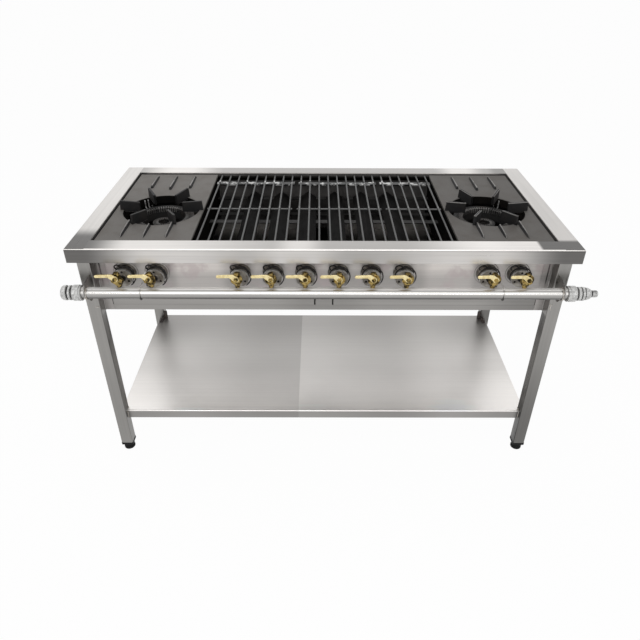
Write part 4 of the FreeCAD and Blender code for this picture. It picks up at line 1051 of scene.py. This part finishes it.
def leg_clips():
    """Dark bent clips from the shelf to the back legs, each with a bolt."""
    form = Form()
    top = extent("lower_shelf")[1].z
    bolt = [(top + 3, 5.4), (top + 7, 5.4), (top + 8, 4.4), (top + 8, 1)]
    upright = (677, 691, 285.5, 36)
    flat = (690, 705, 250, 3)
    back = 289
    for sign in (-1, 1):
        for inner, outer, front, height in (upright, flat):
            form.block((sign * inner, front, top), (sign * outer, back, top + height), 1.2)
        form.turned(bolt, (sign * 697.5, 268, 0), "Z", 6)
    form.piece("back_leg_clips", [mixer_iron])


for finish, nodes in (
    (panel_steel, ("control_panel", "left_side_panel", "right_side_panel", "back_panel")),
    (tray_steel, ("tray_rail", "left_drip_tray", "right_drip_tray")),
    (sooted_sheet, ("tray_runners", "divider_panels", "support_ledges")),
    (cross_bar_steel, ("cross_bars",)),
    (deflector_steel, ("heat_deflectors",)),
    (mixer_iron, ("grill_burners",)),
    (burner_iron, ("left_ring_burner", "right_ring_burner")),
    (grate_bars, ("left_grate", "middle_grate", "right_grate")),
):
    for node in nodes:
        materials = frame["nodes"][node].data.materials
        materials.clear()
        materials.append(finish)

top_frame()
legs()
shelf()
hole_rims()
pipework()
pipe_supports()
valves()
levers()
shutters()
mixer_castings()
burner_plates()
burner_crowns()
feet()
welds()
tray_slots()
tray_end_shade()
leg_clips()


def backdrop():
    """Pale floor that keeps a faint shadow, and an even white surround."""
    white = rgb(1, 1, 1)
    mesh = bpy.data.meshes.new("floor")
    mesh.from_pydata([(-30, -30, 0), (30, -30, 0), (30, 30, 0), (-30, 30, 0)], [], [(0, 1, 2, 3)])
    floor = placed("floor", mesh)
    finish = Finish("pale_floor")
    pale = finish.tint(rgb(0.86, 0.86, 0.86), 0.98 + 0.03 * finish.noise(2))
    lit = finish.node("ShaderNodeBsdfDiffuse", {}, {"Color": pale})
    clear = finish.node("ShaderNodeEmission", {}, {"Color": white, "Strength": 1.0})
    mixed = finish.node("ShaderNodeMixShader", {}, [0.97 * finish.seen(), lit, clear])
    finish.node("ShaderNodeOutputMaterial", {}, [mixed], output=())
    mesh.materials.append(finish.owner)

    studio = Nodes(bpy.data.worlds.new("studio"))
    bpy.context.scene.world = studio.owner
    glow, clear = (studio.node("ShaderNodeBackground", {}, {"Color": white, "Strength": strength})
                   for strength in (0.42, 1.0))
    mixed = studio.node("ShaderNodeMixShader", {}, [studio.seen(), glow, clear])
    studio.node("ShaderNodeOutputWorld", {}, [mixed], output=())


def lamp(name, spot, aim, size, power, mirrored=True):
    """A soft lamp aimed at a point; mirrored lamps show in the metal."""
    light = bpy.data.lights.new(name, "AREA")
    light.shape = "RECTANGLE"
    light.size, light.size_y = size
    light.energy = power
    made = placed(name, light)
    made.location = spot
    made.rotation_euler = (Vector(aim) - Vector(spot)).to_track_quat("-Z", "Y").to_euler()
    made.visible_glossy = mirrored


def camera():
    """Camera above the front, looking down on the top."""
    data = bpy.data.cameras.new("camera")
    data.sensor_width = 36.0
    data.lens = 32.918
    made = placed("camera", data)
    pitch, yaw, roll = 33.508, 0.288, 0.278
    stand = Matrix.Translation((-0.0214, -1.8587, 1.5824))
    for axis, degrees in (("Z", -yaw), ("X", 90 - pitch), ("Z", roll)):
        stand = stand @ Matrix.Rotation(math.radians(degrees), 4, axis)
    made.matrix_world = stand
    bpy.context.scene.camera = made


backdrop()
lamp("overhead_lamp", (-0.4, -0.2, 3.4), (0, 0, 0.6), (3.0, 2.2), 34, False)
lamp("back_lamp", (-0.2, 2.8, 2.4), (0, 0, 0.7), (3.6, 1.4), 6)
lamp("front_lamp", (0.0, -3.4, 2.35), (0, -0.3, 0.7), (3.6, 0.8), 24)
lamp("low_front_lamp", (0.0, -3.2, 0.95), (0, -0.3, 0.72), (3.0, 0.6), 13, False)
camera()
bpy.context.scene.view_settings.view_transform = "Standard"
